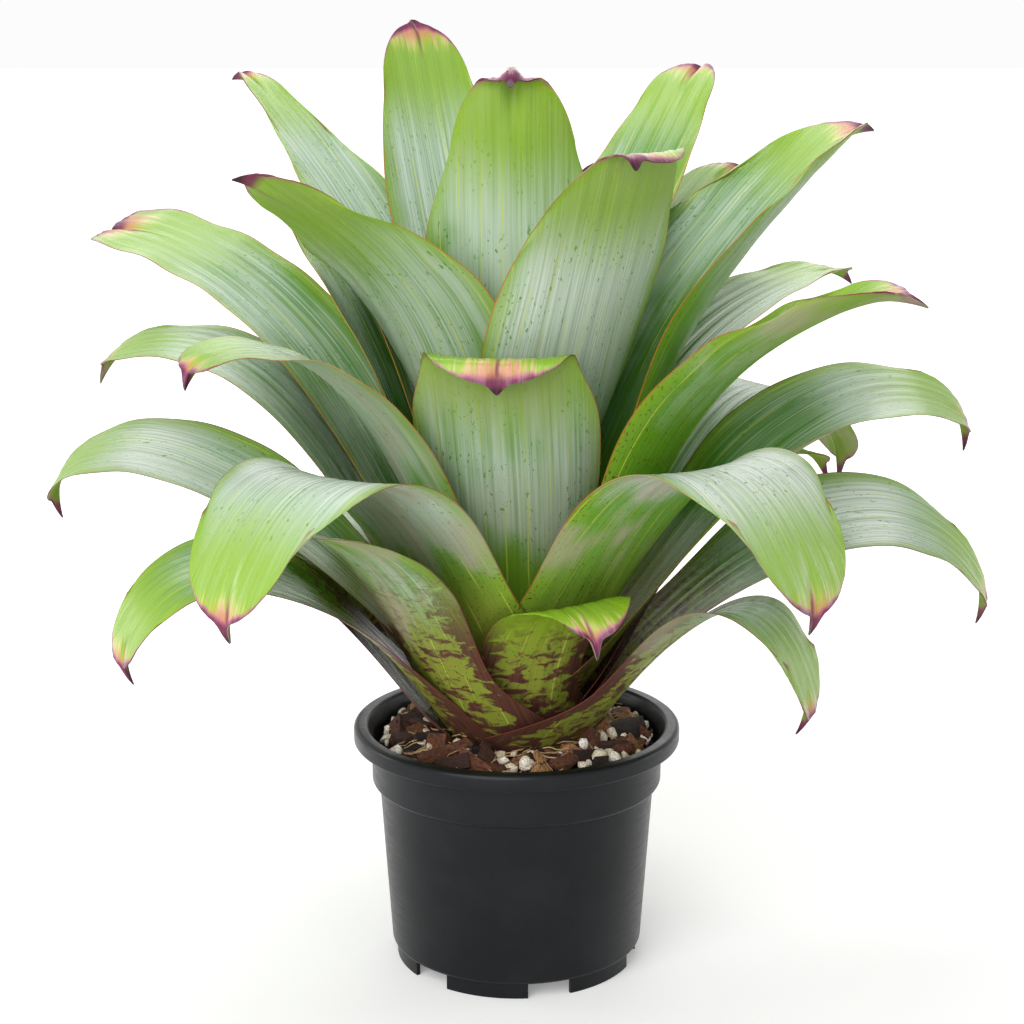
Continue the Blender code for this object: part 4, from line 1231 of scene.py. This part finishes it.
class BROMELIAD_OT_stage(bpy.types.Operator):
    """Sets the pale floor, the soft lamps and the camera"""
    bl_idname = "bromeliad.stage"
    bl_label = "Set the stage"

    def execute(self, context):
        settings = context.scene.bromeliad_stage
        scene = context.scene
        bm = bmesh.new()
        bmesh.ops.create_grid(bm, x_segments=4, y_segments=4, size=40.0)
        mesh = bpy.data.meshes.new("studio_floor")
        bm.to_mesh(mesh)
        bm.free()
        ground = bpy.data.objects.new("studio_floor", mesh)
        scene.collection.objects.link(ground)

        paper, tree, shader = new_material("matt_paper_floor", Roughness=1.0, IOR=1.0,
                                           Base_Color=tuple(settings.floor))
        away = add_node(tree, "VectorMath", (add_node(tree, "TexCoord", output=3),), output=1,
                        operation="LENGTH")
        # the paper is lit evenly near the pot; further off its own glow keeps it white
        level = add_node(tree, "MapRange", (away, 0.3, 2.2, 0.22, 1.0))
        strength = add_node(tree, "Math", (seen_directly(tree), level), operation="MULTIPLY")
        glow = add_node(tree, "Emission", {"Color": linear("#FFFFFF"), "Strength": strength})
        both = add_node(tree, "AddShader", (shader.outputs[0], glow))
        tree.links.new(both, tree.nodes["Material Output"].inputs["Surface"])
        mesh.materials.append(paper)

        world = bpy.data.worlds.new("studio")
        world.use_nodes = True
        sky = world.node_tree
        level = add_node(sky, "MapRange", {"Value": seen_directly(sky), "To Min": 0.37,
                                           "To Max": 1.0})
        back = sky.nodes["Background"]
        back.inputs["Color"].default_value = linear("#FCFCFC")
        sky.links.new(level, back.inputs["Strength"])
        scene.world = world

        middle = (0.0, 0.0, 0.30)
        add_lamp("overhead_softbox", (-0.15, 0.40, 1.75), middle, settings.softness, 9.0)
        add_lamp("front_softbox", (-0.75, -1.85, 1.25), middle, 2.2, 47.0)
        add_lamp("back_softbox", (0.10, 1.60, 1.45), middle, 1.7, 11.0)
        add_lamp("left_strip", (-1.45, 0.35, 0.45), middle, 0.7, 4.0)
        add_lamp("right_strip", (1.50, 0.30, 0.45), middle, 0.7, 3.5)

        lens = bpy.data.cameras.new("camera")
        lens.sensor_width = 36.0
        lens.lens = 71.95
        lens.clip_start = 0.05
        lens.clip_end = 200.0
        camera = bpy.data.objects.new("camera", lens)
        camera.location = (-0.0028, -1.2, 0.558)
        camera.rotation_euler = (radians(90.0 - 12.99), 0.0, 0.0)
        scene.collection.objects.link(camera)
        scene.camera = camera
        scene.view_settings.view_transform = "Standard"
        return {"FINISHED"}


# ---- panel and registration -----------------------------------------------------------------

PARTS = (BROMELIAD_OT_pot, BROMELIAD_OT_mix, BROMELIAD_OT_loose, BROMELIAD_OT_stem,
         BROMELIAD_OT_leaves, BROMELIAD_OT_stage)
GROUPS = (("bromeliad_pot", PotSettings), ("bromeliad_mix", MixSettings),
          ("bromeliad_leaves", LeafSettings), ("bromeliad_stage", StageSettings))


class BROMELIAD_PT_parts(bpy.types.Panel):
    bl_label = "Bromeliad"
    bl_idname = "BROMELIAD_PT_parts"
    bl_space_type = "VIEW_3D"
    bl_region_type = "UI"
    bl_category = "Bromeliad"

    def draw(self, context):
        for name, group in GROUPS:
            box = self.layout.box()
            for key in group.__annotations__:
                box.prop(getattr(context.scene, name), key)
        for part in PARTS:
            self.layout.operator(part.bl_idname)


def register():
    for name, group in GROUPS:
        bpy.utils.register_class(group)
        setattr(bpy.types.Scene, name, PointerProperty(type=group))
    for part in PARTS:
        bpy.utils.register_class(part)
    bpy.utils.register_class(BROMELIAD_PT_parts)


def unregister():
    bpy.utils.unregister_class(BROMELIAD_PT_parts)
    for part in reversed(PARTS):
        bpy.utils.unregister_class(part)
    for name, group in reversed(GROUPS):
        delattr(bpy.types.Scene, name)
        bpy.utils.unregister_class(group)


def main():
    register()
    bpy.ops.bromeliad.stage()
    bpy.ops.bromeliad.pot()
    bpy.ops.bromeliad.mix()
    bpy.ops.bromeliad.loose()
    bpy.ops.bromeliad.stem()
    bpy.ops.bromeliad.leaves()


if __name__ == "__main__":
    main()
